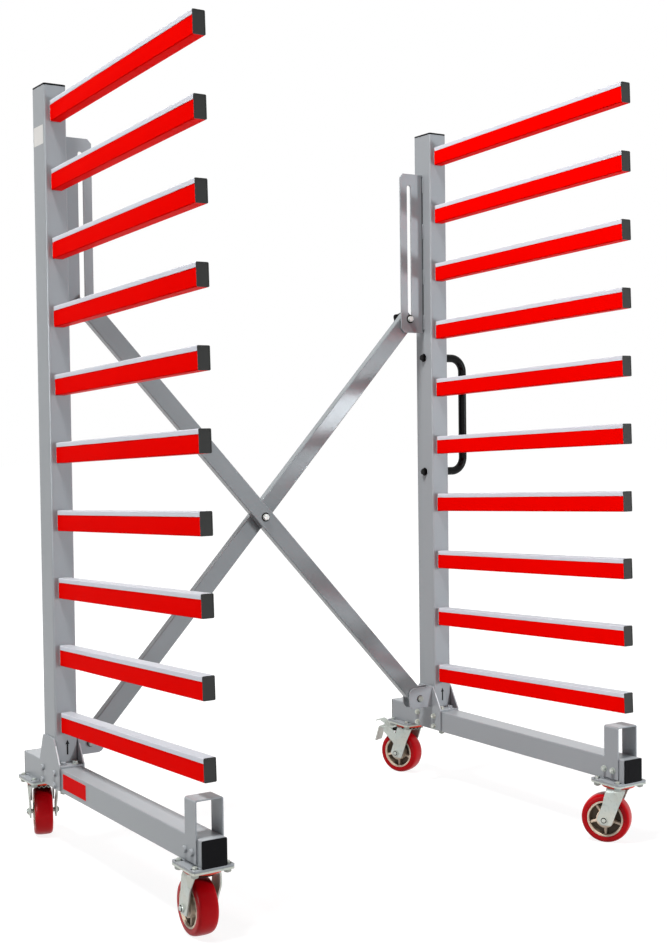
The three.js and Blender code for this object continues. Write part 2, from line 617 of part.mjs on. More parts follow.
// A bent sheet pedal on a pin, with a lower tab to lock and an upper tab to release.
function brakePedal() {
  const [x, z] = PEDAL_PIVOT;
  const half = PEDAL_SHEET / 2;
  const lower = outline([
    [x - PEDAL_BACK, z - half],
    [x + KNEE_OUT - PEDAL_SHEET, z + KNEE_RISE - half],
    [x + LOWER_TAB_OUT - PEDAL_SHEET, z - LOWER_TAB_FALL],
    [x + LOWER_TAB_OUT, z - LOWER_TAB_FALL],
    [x + KNEE_OUT, z + KNEE_RISE + half],
    [x - PEDAL_BACK, z + half],
  ]);
  const upper = outline([
    [x + NECK_OUT + PEDAL_SHEET, z + WELD],
    [x + SHELF_OUT + half, z + SHELF_RISE - half],
    [x + PEAK_OUT, z + PEAK_RISE - half],
    [x + UPPER_TAB_OUT - half, z + UPPER_TAB_RISE - half],
    [x + UPPER_TAB_OUT, z + UPPER_TAB_RISE + half],
    [x + PEAK_OUT, z + PEAK_RISE + half],
    [x + SHELF_OUT - half, z + SHELF_RISE + half],
    [x + NECK_OUT, z + WELD],
  ]);
  const [near, far] = [-PEDAL_WIDTH / 2, PEDAL_WIDTH / 2];
  const pin = barAlongY(PEDAL_PIN_DIAMETER, -LEG_FAR, LEG_FAR).translate(x, 0, z);
  return joined(alongY(lower, near, far), alongY(upper, near, far), pin);
}

function addCaster(frame, name, y, braked) {
  const station = new THREE.Group();
  station.position.y = y;
  frame.add(station);
  place(station, `caster_plate_${name}`, casterPlate(), ZINC);
  const swivel = new THREE.Group();
  swivel.rotation.z = THREE.MathUtils.degToRad(SWIVEL_ANGLES[name]);
  station.add(swivel);
  place(swivel, `caster_fork_${name}`, fork(braked), ZINC);
  const wheel = new THREE.Group();
  wheel.position.set(TRAIL, 0, AXLE_HEIGHT);
  swivel.add(wheel);
  place(wheel, `wheel_core_${name}`, wheelCore(), CREAM_CORE);
  place(wheel, `wheel_tread_${name}`, treadRing(), RED_TREAD);
  if (braked) {
    place(swivel, `brake_pedal_${name}`, brakePedal(), ZINC);
  }
}

function addFrame(side, inward, forkSide) {
  const frame = new THREE.Group();
  frame.position.x = (-inward * FRAME_SPACING) / 2;
  cart.add(frame);
  place(frame, `base_tube_${side}`, baseTube(), GREY_PAINT);
  place(frame, `base_plug_${side}`, basePlug().translate(0, 0, BASE_TOP - BASE_HEIGHT / 2), BLACK_PLASTIC);
  place(frame, `post_shoe_${side}`, postShoe(inward, forkSide), GREY_PAINT);
  place(frame, `post_${side}`, post().translate(0, POST_DEPTH / 2, 0), GREY_PAINT);
  place(frame, `post_cap_${side}`, postCap().translate(0, POST_DEPTH / 2, 0), BLACK_PLASTIC);
  place(frame, `slot_plate_${side}`, slotPlate(inward), GREY_PAINT);
  place(frame, `stop_bracket_${side}`, stopBracket(), GREY_PAINT);
  for (let i = 0; i < ARM_COUNT; i += 1) {
    const number = String(i + 1).padStart(2, '0');
    place(frame, `arm_${side}_${number}`, arm(TOP_ARM_TOP - i * ARM_PITCH), RED_PAINT);
  }
  const inner = -BRACE_PLATE / 2 - FIT;
  const outer = OUTER_LUG_FAR + FIT;
  const pivot = forkSide > 0 ? bolt(inner, outer) : bolt(-outer, -inner);
  pivot.translate(inward * PIVOT_INSET, BRACE_PLANE, PIVOT_HEIGHT);
  place(frame, `pivot_bolt_${side}`, pivot, ZINC);
  addCaster(frame, `front_${side}`, FRONT_CASTER_Y, false);
  addCaster(frame, `rear_${side}`, REAR_CASTER_Y, true);
  return frame;
}

// The rear bar rises from the left lug to the right slot, the front bar from the right lug to the left slot.
function addBrace() {
  const plateFace = BRACE_PLATE / 2 + BRACE_GAP;
  const barFace = BAR_FAR + BRACE_GAP;
  const rear = new THREE.Group();
  rear.position.set(-PIVOT_SPAN / 2, BRACE_PLANE, PIVOT_HEIGHT);
  rear.rotation.y = -SPREAD_ANGLE;
  place(rear, 'brace_bar_rear', braceBar(BAR_NEAR, BAR_FAR), GREY_PAINT);
  place(rear, 'slide_bolt_right', knobBolt(-plateFace, barFace).translate(BAR_LENGTH, 0, 0), ZINC);
  const front = new THREE.Group();
  front.position.set(PIVOT_SPAN / 2, BRACE_PLANE, PIVOT_HEIGHT);
  front.rotation.y = SPREAD_ANGLE - Math.PI;
  place(front, 'brace_bar_front', braceBar(-BAR_FAR, -BAR_NEAR), GREY_PAINT);
  place(front, 'slide_bolt_left', knobBolt(-barFace, plateFace).translate(BAR_LENGTH, 0, 0), ZINC);
  cart.add(rear, front);
  const crossing = crossingBolt().translate(0, BRACE_PLANE, PIVOT_HEIGHT + BRACE_RISE / 2);
  place(cart, 'crossing_bolt', crossing, ZINC);
}

addFrame('left', 1, 1);
const rightFrame = addFrame('right', -1, -1);
place(rightFrame, 'pull_handle', handle(), BLACK_PAINT);
addBrace();

// The origin is on the floor, under the middle of the cart.
const reach = new THREE.Box3().setFromObject(cart, true);
const middle = reach.getCenter(new THREE.Vector3());
cart.position.set(-middle.x, -middle.y, -reach.min.z);

export default cart;
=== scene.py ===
"""Sheet goods cart: two rolling frames with rows of red arms, joined by a folding scissor brace.

Pieces are drawn in millimetres: X across the cart from its middle, Y back from the posts' front
faces, Z up from the floor. piece() brings them to metres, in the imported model's frame.
"""
import json
import math

import bmesh
import bpy
from mathutils import Matrix, Vector


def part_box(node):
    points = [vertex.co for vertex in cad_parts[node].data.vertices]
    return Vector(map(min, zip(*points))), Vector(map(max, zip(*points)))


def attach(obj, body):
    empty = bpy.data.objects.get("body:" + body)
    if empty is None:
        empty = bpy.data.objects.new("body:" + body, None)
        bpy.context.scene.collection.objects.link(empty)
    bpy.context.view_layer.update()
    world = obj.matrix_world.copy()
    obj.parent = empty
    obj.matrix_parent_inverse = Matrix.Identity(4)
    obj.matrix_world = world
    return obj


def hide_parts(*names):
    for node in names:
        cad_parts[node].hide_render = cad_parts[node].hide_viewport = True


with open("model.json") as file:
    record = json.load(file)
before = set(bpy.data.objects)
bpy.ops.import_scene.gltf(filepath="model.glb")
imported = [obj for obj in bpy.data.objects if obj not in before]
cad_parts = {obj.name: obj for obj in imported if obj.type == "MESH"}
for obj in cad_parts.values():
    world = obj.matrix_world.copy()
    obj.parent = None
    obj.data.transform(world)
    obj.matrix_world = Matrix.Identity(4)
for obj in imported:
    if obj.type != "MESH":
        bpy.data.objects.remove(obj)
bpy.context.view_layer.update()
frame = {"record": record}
BODY_OF = {
    node: body
    for body, nodes in frame["record"]["behaviour"]["bodies"].items()
    for node in nodes
}

# Sizes of the cart, as in the solids
FRAME_SPACING = 1214
POST_WIDTH, POST_DEPTH, POST_CORNER = 60, 80, 6
BASE_SIZE, BASE_CORNER = 60, 3
BASE_FRONT, BASE_REAR = -798, 223
ARM_COUNT, ARM_PITCH, ARM_LENGTH = 10, 173, 786
ARM_WIDTH, ARM_HEIGHT = 30, 52.5
TILT = math.radians(2.3)
FIT = 0.3
MOUNT_TOP, MOUNT_PLATE = 166.1, 5
CASTER_PLATE_BOTTOM, CASTER_PLATE_TOP = 155.8, 160.8
CASTER_PLATE_SIZE = (100, 105)
BOLT_PLACES = [(u, v) for u in (-39, 39) for v in (-37, 37)]
RACE_BOTTOM = 146.8
CROWN_BOTTOM, CROWN_TOP = 140.5, 146.5
AXLE_HEIGHT, TRAIL = 63.5, 31
BASE_BOTTOM, BASE_TOP = 166.4, 226.4
LEDGE = 5
POST_BOTTOM = BASE_TOP + LEDGE + 2 * FIT
LOWEST_ARM_TOP = BASE_TOP + 85.5 + ARM_HEIGHT / math.cos(TILT)
POST_TOP = LOWEST_ARM_TOP + (ARM_COUNT - 1) * ARM_PITCH + 39
PIVOT_INSET = POST_WIDTH / 2 + 51.5
PIVOT_HEIGHT = BASE_TOP + 40.5
PIVOT_SPAN, BRACE_RISE = FRAME_SPACING - 2 * PIVOT_INSET, 1143
BAR_LENGTH = math.hypot(PIVOT_SPAN, BRACE_RISE)
SPREAD = math.atan2(BRACE_RISE, PIVOT_SPAN)
FOLD = math.radians(34)
SLIDE_LOW = PIVOT_HEIGHT + BRACE_RISE
SLIDE_HIGH = PIVOT_HEIGHT + BAR_LENGTH * math.sin(SPREAD + FOLD)
BRACE_PLANE = POST_DEPTH / 2
BRACE_PLATE, BRACE_GAP = 5, 0.5
BAR_WIDTH, BAR_DEPTH, BAR_OVERHANG = 50, 25, 14
BAR_NEAR = BRACE_PLATE / 2 + BRACE_GAP
BAR_FAR = BAR_NEAR + BAR_DEPTH
LUG_NEAR = BAR_FAR + BRACE_GAP
SHOE_INNER, SHOE_PLATE = 30.3, 4.5
SHOE_OUTER = SHOE_INNER + SHOE_PLATE
SHOE_TOE, SHOE_HEEL = -32, 100.5
LEG_NEAR, LEG_SHEET = 27, 4.5
LEG_FAR = LEG_NEAR + LEG_SHEET
WHEEL_RADIUS, CORE_RADIUS = 63.5, 47
PEDAL_PIVOT = (TRAIL + 38, CROWN_TOP - 13)
SWIVELS = {"front_left": 87, "rear_left": 72, "front_right": 125, "rear_right": 113}
CASTER_Y = {"front": BASE_FRONT + 51, "rear": BASE_REAR - 51}
SIDES = {"left": -1, "right": 1}

# Camera: place in millimetres, turns in degrees, lens on a 36 mm long side
CAMERA_PLACE = (-1980.09, -3394.0, 1084.94)
CAMERA_YAW, CAMERA_PITCH, CAMERA_ROLL = 32.9551, -1.9251, -0.6907
LENS = 53.271

X, Y, Z = Vector((1, 0, 0)), Vector((0, 1, 0)), Vector((0, 0, 1))
LOW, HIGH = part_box("post_left")
ORIGIN = Vector((
    (LOW.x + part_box("post_right")[1].x) / 2,
    LOW.y,
    HIGH.z - POST_TOP / 1000,
))
TO_FRAME = Matrix.Translation(ORIGIN) @ Matrix.Scale(0.001, 4)
collection = bpy.context.scene.collection


class Link:
    """An output socket that can stand in a sum."""

    def __init__(self, tree, socket):
        self.tree, self.socket = tree, socket

    def math(self, operation, first, second):
        return self.tree.node("ShaderNodeMath", {"operation": operation}, {0: first, 1: second})

    def __add__(self, other):
        return self.math("ADD", self, other)

    def __radd__(self, other):
        return self.math("ADD", other, self)

    def __sub__(self, other):
        return self.math("SUBTRACT", self, other)

    def __rsub__(self, other):
        return self.math("SUBTRACT", other, self)

    def __mul__(self, other):
        return self.math("MULTIPLY", self, other)

    def __rmul__(self, other):
        return self.math("MULTIPLY", other, self)

    def __gt__(self, other):
        return self.math("GREATER_THAN", self, other)


class Tree:
    """A node tree that takes one call for each node."""

    def __init__(self, tree):
        self.tree = tree

    def feed(self, socket, value):
        if isinstance(value, Link):
            self.tree.links.new(value.socket, socket)
        else:
            socket.default_value = value

    def node(self, kind, settings=None, inputs=None, output=0):
        node = self.tree.nodes.new(kind)
        for name, value in (settings or {}).items():
            if name == "stops":
                while len(node.color_ramp.elements) < len(value):
                    node.color_ramp.elements.new(1)
                for element, (place, colour) in zip(node.color_ramp.elements, value):
                    element.position, element.color = place, colour
            else:
                setattr(node, name, value)
        for key, value in (inputs or {}).items():
            self.feed(node.inputs[key], value)
        return Link(self, node.outputs[output])


def tint(code):
    """A colour written as six hex digits, for a shader."""
    parts = [int(code[i:i + 2], 16) / 255 for i in (0, 2, 4)]
    return (*(c / 12.92 if c < 0.04045 else ((c + 0.055) / 1.055) ** 2.4 for c in parts), 1)


class Finish(Tree):
    """A finish of the cart: a Principled surface fed by procedural patterns in metres."""

    def __init__(self, name, slot, **constants):
        self.material, self.slot = bpy.data.materials.new(name), slot
        self.material.use_nodes = True
        super().__init__(self.material.node_tree)
        self.shader = self.tree.nodes["Principled BSDF"]
        self.place = self.node("ShaderNodeTexCoord", output="Object")
        self.set(**constants)

    def set(self, **sockets):
        for name, value in sockets.items():
            self.feed(self.shader.inputs[name.replace("_", " ")], value)

    def noise(self, scale, detail=2, vector=None):
        inputs = {"Vector": vector or self.place, "Scale": scale, "Detail": detail}
        return self.node("ShaderNodeTexNoise", inputs=inputs)

    def stretched(self, scale):
        return self.node("ShaderNodeMapping", inputs={"Vector": self.place, "Scale": scale})

    def between(self, factor, first, second):
        inputs = {0: factor, 6: first, 7: second}
        return self.node("ShaderNodeMix", {"data_type": "RGBA"}, inputs, 2)

    def ramp(self, factor, low, high):
        stops = [(low, (0, 0, 0, 1)), (high, (1, 1, 1, 1))]
        return self.node("ShaderNodeValToRGB", {"stops": stops}, {0: factor})

    def relief(self, height, strength, distance):
        inputs = {"Height": height, "Strength": strength, "Distance": distance}
        self.set(Normal=self.node("ShaderNodeBump", inputs=inputs))


def powder_coat(name, slot, light, dark, rough, shine, silver=0.0, drift=0.04, peel=0.02):
    """Sprayed and baked paint: a fine orange peel, with faint clouds in its colour and gloss."""
    finish = Finish(name, slot, IOR=1.5, Specular_IOR_Level=shine, Metallic=silver)
    finish.set(Base_Color=finish.between(finish.noise(5, 2), tint(dark), tint(light)))
    finish.set(Roughness=rough + drift * finish.noise(30, 3))
    if peel:
        finish.relief(finish.noise(520, 2), peel, 0.0004)
    return finish


def moulded(name, slot, light, dark, rough, shine):
    """Moulded plastic with a fine spark-eroded grain."""
    finish = Finish(name, slot, IOR=1.46, Specular_IOR_Level=shine)
    finish.set(Base_Color=finish.between(finish.noise(24, 3), tint(dark), tint(light)))
    finish.set(Roughness=rough + 0.14 * finish.noise(70, 2))
    finish.relief(finish.noise(800, 2), 0.1, 0.0003)
    return finish


def wear_strip(name, slot, light, dark, shaded_top):
    """Pale moulded strip whose upward faces are painted darker, as shade on its top."""
    finish = moulded(name, slot, light, dark, 0.36, 0.2)
    fresh = finish.between(finish.noise(24, 3), tint(dark), tint(light))
    # Faces turned up take the third colour: painted shade on the strip's top.
    normal = finish.node("ShaderNodeTexCoord", output="Normal")
    upward = finish.node("ShaderNodeSeparateXYZ", inputs={0: normal}, output=2)
    finish.set(Base_Color=finish.between(finish.ramp(upward, 0.45, 0.85), fresh, tint(shaded_top)))
    return finish


def plated(name, slot, cool, warm, spot):
    """Zinc plate: pale metal with a faint green and straw cast, dulled in spots."""
    finish = Finish(name, slot, Metallic=0.55)
    cast = finish.between(finish.ramp(finish.noise(24, 3), 0.35, 0.7), tint(cool), tint(warm))
    spots = finish.ramp(finish.noise(140, 3), 0.54, 0.78)
    finish.set(Base_Color=finish.between(0.4 * spots, cast, tint(spot)))
    finish.set(Roughness=0.26 + 0.2 * finish.noise(90, 3))
    finish.relief(finish.noise(420, 3), 0.08, 0.0003)
    return finish


def tread_rubber(name, slot):
    """Cast polyurethane: deep red with a soft shine, and a little dust in its pores."""
    finish = Finish(name, slot, IOR=1.5, Specular_IOR_Level=0.12)
    cloud = finish.between(finish.noise(26, 3), tint("9b010a"), tint("b4030d"))
    dust = finish.ramp(finish.noise(240, 4), 0.62, 0.85)
    finish.set(Base_Color=finish.between(0.12 * dust, cloud, tint("963c3c")))
    finish.set(Roughness=0.24 + 0.22 * finish.noise(60, 3))
    finish.relief(finish.noise(300, 3), 0.1, 0.0004)
    return finish


GREY = powder_coat("grey powder coat", "grey_paint", "94989c", "909498", 0.3, 0.28, silver=0.1)
BRACE_GREY = powder_coat("smooth grey coat", "grey_paint", "858b8e", "757b7e", 0.14, 0.5, silver=0.15, peel=0)
SHEET_GREY = powder_coat("satin grey coat", "grey_paint", "999ea2", "8f9498", 0.36, 0.25, silver=0.1)
# Paler copy of the grey paint: painted highlight along the shoe plates' cut edges.
EDGE_HIGHLIGHT = powder_coat("rubbed edge", "grey_paint", "c4c8cb", "b8bdc0", 0.3, 0.3)
# Dark grey strip finish: painted shadow in the gap where the slot plate meets the post.
JOINT_SHADOW = powder_coat("shaded joint", "grey_paint", "5a5d60", "4d5053", 0.5, 0.2)
RED = powder_coat("red powder coat", "red_paint", "ec0300", "e40200", 0.34, 0.003)
LABEL_RED = moulded("plain red plate", "red_paint", "de0608", "d60506", 0.36, 0.01)
# The last colour is painted shade on the tops of the strips.
STRIP = wear_strip("pale wear strip", "wear_strip", "d0d2da", "c8cad3", "a4a7ae")
LABEL_PALE = moulded("blank sticker", "wear_strip", "d6d4d1", "cfcdca", 0.4, 0.2)
PLUG = moulded("black plug plastic", "black_plastic", "101012", "0b0b0d", 0.42, 0.08)
ARM_PLUG = moulded("dark grey plug plastic", "black_plastic", "262726", "1e1f1e", 0.34, 0.42)
INK = moulded("black arrow film", "black_plastic", "131314", "0c0c0d", 0.4, 0.2)
GLOSS = powder_coat("gloss black paint", "black_paint", "050506", "030303", 0.08, 0.13)
ZINC = plated("zinc plate", "zinc", "b4bcb7", "bbbcb2", "7c8480")
BRIGHT_ZINC = plated("bright zinc plate", "zinc", "dde3e2", "dcdeda", "aab1ae")
# Darker copy of the zinc: painted shade on the nuts under the plates and on the pivot bolt.
SHADED_ZINC = plated("dulled zinc plate", "zinc", "8f9591", "96978f", "5b625f")
# Near-black finish that stands for shade: the slot floors, collar, crown, washers and block drawn with it are painted
# shade.
SHADE_BLACK = moulded("blackened steel", "zinc", "1c1b18", "121210", 0.5, 0.15)
SEAL = moulded("orange red seal", "red_paint", "d8381a", "c22e12", 0.36, 0.2)
TREAD = tread_rubber("red tread", "tread")
CREAM = moulded("cream wheel core", "wheel_core", "d9c9b6", "ccbba6", 0.42, 0.3)
# Dark finish for the web between the spokes: painted shade in the wheel's pockets.
SHADED_WEB = moulded("greyed wheel web", "wheel_core", "6a6053", "564d42", 0.6, 0.15)


def mesh_of(points, faces):
    mesh = bpy.data.meshes.new("shape")
    mesh.from_pydata([tuple(p) for p in points], [], faces)
    return mesh


def path_of(*runs, closed=False):
    """Edges through each run of points, for the trees that follow a path."""
    points, edges = [], []
    for run in runs:
        first = len(points)
        points += [tuple(p) for p in run]
        edges += [(i, i + 1) for i in range(first, len(points) - 1)]
        if closed:
            edges.append((len(points) - 1, first))
    mesh = bpy.data.meshes.new("path")
    mesh.from_pydata(points, edges, [])
    return mesh


def posed(mesh, matrix):
    mesh = mesh.copy()
    mesh.transform(matrix)
    return mesh


def lay(mesh, u, v, at):
    """Puts a mesh drawn in the u, v plane at a point: its thickness runs along u x v."""
    axes = Matrix((u, v, u.cross(v))).transposed().to_4x4()
    return posed(mesh, Matrix.Translation(at) @ axes)


def shift(mesh, x=0, y=0, z=0):
    return posed(mesh, Matrix.Translation((x, y, z)))


def eased(corners, radius, closed=True, steps=5):
    """An outline with its corners rounded. A corner may bring its own radius as a third number."""
    points = []
    for i, corner in enumerate(corners):
        at = Vector(corner[:2])
        if not closed and i in (0, len(corners) - 1):
            points.append(tuple(at))
            continue
        before = Vector(corners[i - 1][:2]) - at
        after = Vector(corners[(i + 1) % len(corners)][:2]) - at
        size = corner[2] if len(corner) > 2 else radius
        half = before.angle(after) / 2
        reach = min(size / math.tan(half), 0.49 * before.length, 0.49 * after.length)
        size = reach * math.tan(half)
        if size < 0.01:
            points.append(tuple(at))
            continue
        centre = at + (before.normalized() + after.normalized()).normalized() * (size / math.sin(half))
        first, last = at + before.normalized() * reach - centre, at + after.normalized() * reach - centre
        turn = first.angle_signed(last)
        for k in range(steps + 1):
            spoke = first.copy()
            spoke.rotate(Matrix.Rotation(-turn * k / steps, 2))
            points.append(tuple(centre + spoke))
    return points


def rectangle(width, height, radius, at=(0, 0), steps=5):
    u, v = width / 2, height / 2
    corners = [(at[0] - u, at[1] - v), (at[0] + u, at[1] - v), (at[0] + u, at[1] + v), (at[0] - u, at[1] + v)]
    return eased(corners, radius, steps=steps)


def ring(radius, at=(0, 0), sides=24):
    turns = [2 * math.pi * i / sides for i in range(sides)]
    return [(at[0] + radius * math.cos(t), at[1] + radius * math.sin(t)) for t in turns]


def plate(outlines, thickness, edge=0.5):
    """Cut sheet with softened edges, drawn in the u, v plane. Outlines after the first are holes."""
    curve = bpy.data.curves.new("outline", "CURVE")
    curve.dimensions, curve.fill_mode = "2D", "BOTH"
    curve.extrude, curve.bevel_depth = thickness / 2 - edge, edge
    curve.bevel_resolution, curve.offset = 1, -edge
    for points in outlines:
        spline = curve.splines.new("POLY")
        spline.points.add(len(points) - 1)
        for point, place in zip(spline.points, points):
            point.co = (*place, 0, 1)
        spline.use_cyclic_u = True
    holder = bpy.data.objects.new("outline", curve)
    mesh = settled(holder)
    bm = bmesh.new()
    bm.from_mesh(mesh)
    bmesh.ops.remove_doubles(bm, verts=bm.verts, dist=0.002)
    bm.to_mesh(mesh)
    bm.free()
    return mesh


def settled(holder):
    """The plain mesh that an object's curve or modifiers give. The object is removed."""
    collection.objects.link(holder)
    graph = bpy.context.evaluated_depsgraph_get()
    mesh = bpy.data.meshes.new_from_object(holder.evaluated_get(graph))
    holder.modifiers.clear()
    bpy.data.objects.remove(holder)
    return mesh


def ribbon(path, thickness):
    """The outline of a bent sheet along an open path in the u, v plane."""
    sides = ([], [])
    for i, point in enumerate(path):
        ahead = Vector(path[min(i + 1, len(path) - 1)]) - Vector(point)
        behind = Vector(point) - Vector(path[max(i - 1, 0)])
        along = (ahead.normalized() + behind.normalized()).normalized()
        across = Vector((-along.y, along.x)) * thickness / 2
        sides[0].append(tuple(Vector(point) + across))
        sides[1].append(tuple(Vector(point) - across))
    return sides[0] + sides[1][::-1]


def turned(rings, sides=40, loop=False):
    """A lathe shape about Z through (radius, height) pairs; radius zero closes an end."""
    points, rows = [], []
    for radius, height in rings:
        if radius < 1e-6:
            rows.append([len(points)])
            points.append((0, 0, height))
            continue
        rows.append(list(range(len(points), len(points) + sides)))
        points += [(*p, height) for p in ring(radius, sides=sides)]
    faces = []
    for a, b in zip(rows, rows[1:] + ([rows[0]] if loop else [])):
        for i in range(sides):
            j = (i + 1) % sides
            quad = [a[i % len(a)], a[j % len(a)], b[j % len(b)], b[i % len(b)]]
            corners = list(dict.fromkeys(quad))
            if len(corners) > 2:
                faces.append(corners)
    return mesh_of(points, faces)


def block(size, edge, segments=2):
    """A box about the origin with rounded edges."""
    bm = bmesh.new()
    bmesh.ops.create_cube(bm, size=1)
    bmesh.ops.scale(bm, vec=size, verts=bm.verts)
    bmesh.ops.bevel(bm, geom=bm.edges, offset=edge, segments=segments, profile=0.5, affect="EDGES")
    mesh = bpy.data.meshes.new("block")
    bm.to_mesh(mesh)
    bm.free()
    return mesh


def combined(*meshes):
    bm = bmesh.new()
    for mesh in meshes:
        bm.from_mesh(mesh)
    mesh = bpy.data.meshes.new("combined")
    bm.to_mesh(mesh)
    bm.free()
    return mesh


def piece(name, finish, body, *meshes, stands_for=(), crease=32):
    """One finished piece: its meshes joined, brought to metres, shaded, and riding on its body."""
    bm = bmesh.new()
    for mesh in meshes:
        bm.from_mesh(mesh)
    bmesh.ops.recalc_face_normals(bm, faces=bm.faces)
    bmesh.ops.transform(bm, matrix=TO_FRAME, verts=bm.verts)
    for face in bm.faces:
        face.smooth, face.material_index = True, 0
    mesh = bpy.data.meshes.new(name)
    bm.to_mesh(mesh)
    bm.free()
    mesh.set_sharp_from_angle(angle=math.radians(crease))
    holder = bpy.data.objects.new(name, mesh)
    holder.modifiers.new("even shading", "WEIGHTED_NORMAL").keep_sharp = True
    mesh = settled(holder)
    mesh.name = name
    mesh.materials.clear()
    mesh.materials.append(finish.material)
    made = bpy.data.objects.new(name, mesh)
    collection.objects.link(made)
    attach(made, body)
    if stands_for:
        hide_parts(*stands_for)
    return made


class Recipe(Tree):
    """A Geometry Nodes tree with named inputs, which ends in Realize Instances and Set Material."""

    def __init__(self, name, **kinds):
        super().__init__(bpy.data.node_groups.new(name, "GeometryNodeTree"))
        sockets = self.tree.interface
        sockets.new_socket("Geometry", in_out="INPUT", socket_type="NodeSocketGeometry")
        self.keys = {
            label: sockets.new_socket(label, in_out="INPUT", socket_type="NodeSocket" + kind).identifier
            for label, kind in {**kinds, "Finish": "Material"}.items()
        }
        sockets.new_socket("Geometry", in_out="OUTPUT", socket_type="NodeSocketGeometry")
        self.source = self.tree.nodes.new("NodeGroupInput")

    def given(self, label):
        return Link(self, self.source.outputs[label])

    def shape_of(self, label):
        """The geometry of an object given as an input."""
        return self.node("GeometryNodeObjectInfo", inputs={"Object": self.given(label)}, output="Geometry")

    def end(self, geometry):
        solid = self.node("GeometryNodeRealizeInstances", inputs={"Geometry": geometry})
        painted = self.node("GeometryNodeSetMaterial", inputs={"Geometry": solid, "Material": self.given("Finish")})
        self.feed(self.tree.nodes.new("NodeGroupOutput").inputs[0], painted)

    def grow(self, mesh, finish, **values):
        """Runs the tree on a mesh and gives its result as a plain mesh."""
        holder = bpy.data.objects.new("seed", mesh)
        modifier = holder.modifiers.new("grow", "NODES")
        modifier.node_group = self.tree
        helpers = []
        for label, value in {**values, "Finish": finish.material}.items():
            if isinstance(value, (bpy.types.Mesh, bpy.types.Curve)):
                value = bpy.data.objects.new("part", value)
                collection.objects.link(value)
                helpers.append(value)
            modifier[self.keys[label]] = value
        result = settled(holder)
        for helper in helpers:
            bpy.data.objects.remove(helper)
        return result


def section(points):
    """An outline across a tube, as a closed curve."""
    curve = bpy.data.curves.new("section", "CURVE")
    curve.dimensions = "3D"
    spline = curve.splines.new("POLY")
    spline.points.add(len(points) - 1)
    for point, place in zip(spline.points, points):
        point.co = (*place, 0, 1)
    spline.use_cyclic_u = True
    return curve


def tube_recipe():
    """A section carried along a path, with closed ends."""
    recipe = Recipe("Tube along a path", Section="Object")
    path = recipe.node("GeometryNodeMeshToCurve", inputs={"Mesh": recipe.given("Geometry")})
    inputs = {"Curve": path, "Profile Curve": recipe.shape_of("Section"), "Fill Caps": True}
    recipe.end(recipe.node("GeometryNodeCurveToMesh", inputs=inputs))
    return recipe


def arm_recipe():
    """A row of tilted arms: a section carried forward, mitred to the post's face and repeated down it."""
    sizes = dict.fromkeys(("From", "To", "Tilt", "Pitch", "Top"), "Float")
    recipe = Recipe("Row of arms", Section="Object", Count="Int", **sizes)
    given, node = recipe.given, recipe.node
    ends = [
        node("ShaderNodeCombineXYZ", inputs={"Y": 0 - given(label)})
        for label in ("To", "From")
    ]
    line = node("GeometryNodeCurvePrimitiveLine", inputs={"Start": ends[0], "End": ends[1]})
    inputs = {"Curve": line, "Profile Curve": recipe.shape_of("Section"), "Fill Caps": True}
    straight = node("GeometryNodeCurveToMesh", inputs=inputs)
    place = node("GeometryNodeInputPosition")
    along = node("ShaderNodeSeparateXYZ", inputs={0: place}, output="Y")
    depth = node("ShaderNodeSeparateXYZ", inputs={0: place}, output="Z")
    root = along > 0.5 * (0 - given("From") - given("To"))
    slide = depth * (0 - node("ShaderNodeMath", {"operation": "TANGENT"}, {0: given("Tilt")}))
    offset = node("ShaderNodeCombineXYZ", inputs={"Y": slide})
    inputs = {"Geometry": straight, "Selection": root, "Offset": offset}
    mitred = node("GeometryNodeSetPosition", inputs=inputs)
    turn = node("ShaderNodeCombineXYZ", inputs={"X": 0 - given("Tilt")})
    tilted = node("GeometryNodeTransform", inputs={"Geometry": mitred, "Rotation": turn})
    first = node("ShaderNodeCombineXYZ", inputs={"Z": given("Top")})
    step = node("ShaderNodeCombineXYZ", inputs={"Z": 0 - given("Pitch")})
    inputs = {"Count": given("Count"), "Start Location": first, "Offset": step}
    column = node("GeometryNodeMeshLine", inputs=inputs)
    recipe.end(node("GeometryNodeInstanceOnPoints", inputs={"Points": column, "Instance": tilted}))
    return recipe


def spread_recipe():
    """A small part set on each point, turned as the point says."""
    recipe = Recipe("Parts on points", Part="Object")
    settings = {"data_type": "FLOAT_VECTOR"}
    turn = recipe.node("GeometryNodeInputNamedAttribute", settings, {"Name": "turn"})
    inputs = {"Points": recipe.given("Geometry"), "Instance": recipe.shape_of("Part"), "Rotation": turn}
    recipe.end(recipe.node("GeometryNodeInstanceOnPoints", inputs=inputs))
    return recipe


def weld_recipe():
    """Overlapping weld ripples along a path, each a little different in size."""
    recipe = Recipe("Weld along a path", Ripple="Object", Step="Float", Seed="Int")
    given, node = recipe.given, recipe.node
    path = node("GeometryNodeMeshToCurve", inputs={"Mesh": given("Geometry")})
    settings = {"mode": "LENGTH"}
    spaced = node("GeometryNodeResampleCurve", settings, {"Curve": path, "Length": given("Step")})
    facing = node(
        "FunctionNodeAlignRotationToVector", {"axis": "X"},
        {"Vector": node("GeometryNodeInputTangent")},
    )
    size = node("FunctionNodeRandomValue", {"data_type": "FLOAT"}, {2: 0.82, 3: 1.12, "Seed": given("Seed")}, 1)
    inputs = {"Points": spaced, "Instance": recipe.shape_of("Ripple"), "Rotation": facing, "Scale": size}
    recipe.end(node("GeometryNodeInstanceOnPoints", inputs=inputs))
    return recipe


TUBE, ARM_ROW, SPREAD_PARTS, WELD = tube_recipe(), arm_recipe(), spread_recipe(), weld_recipe()


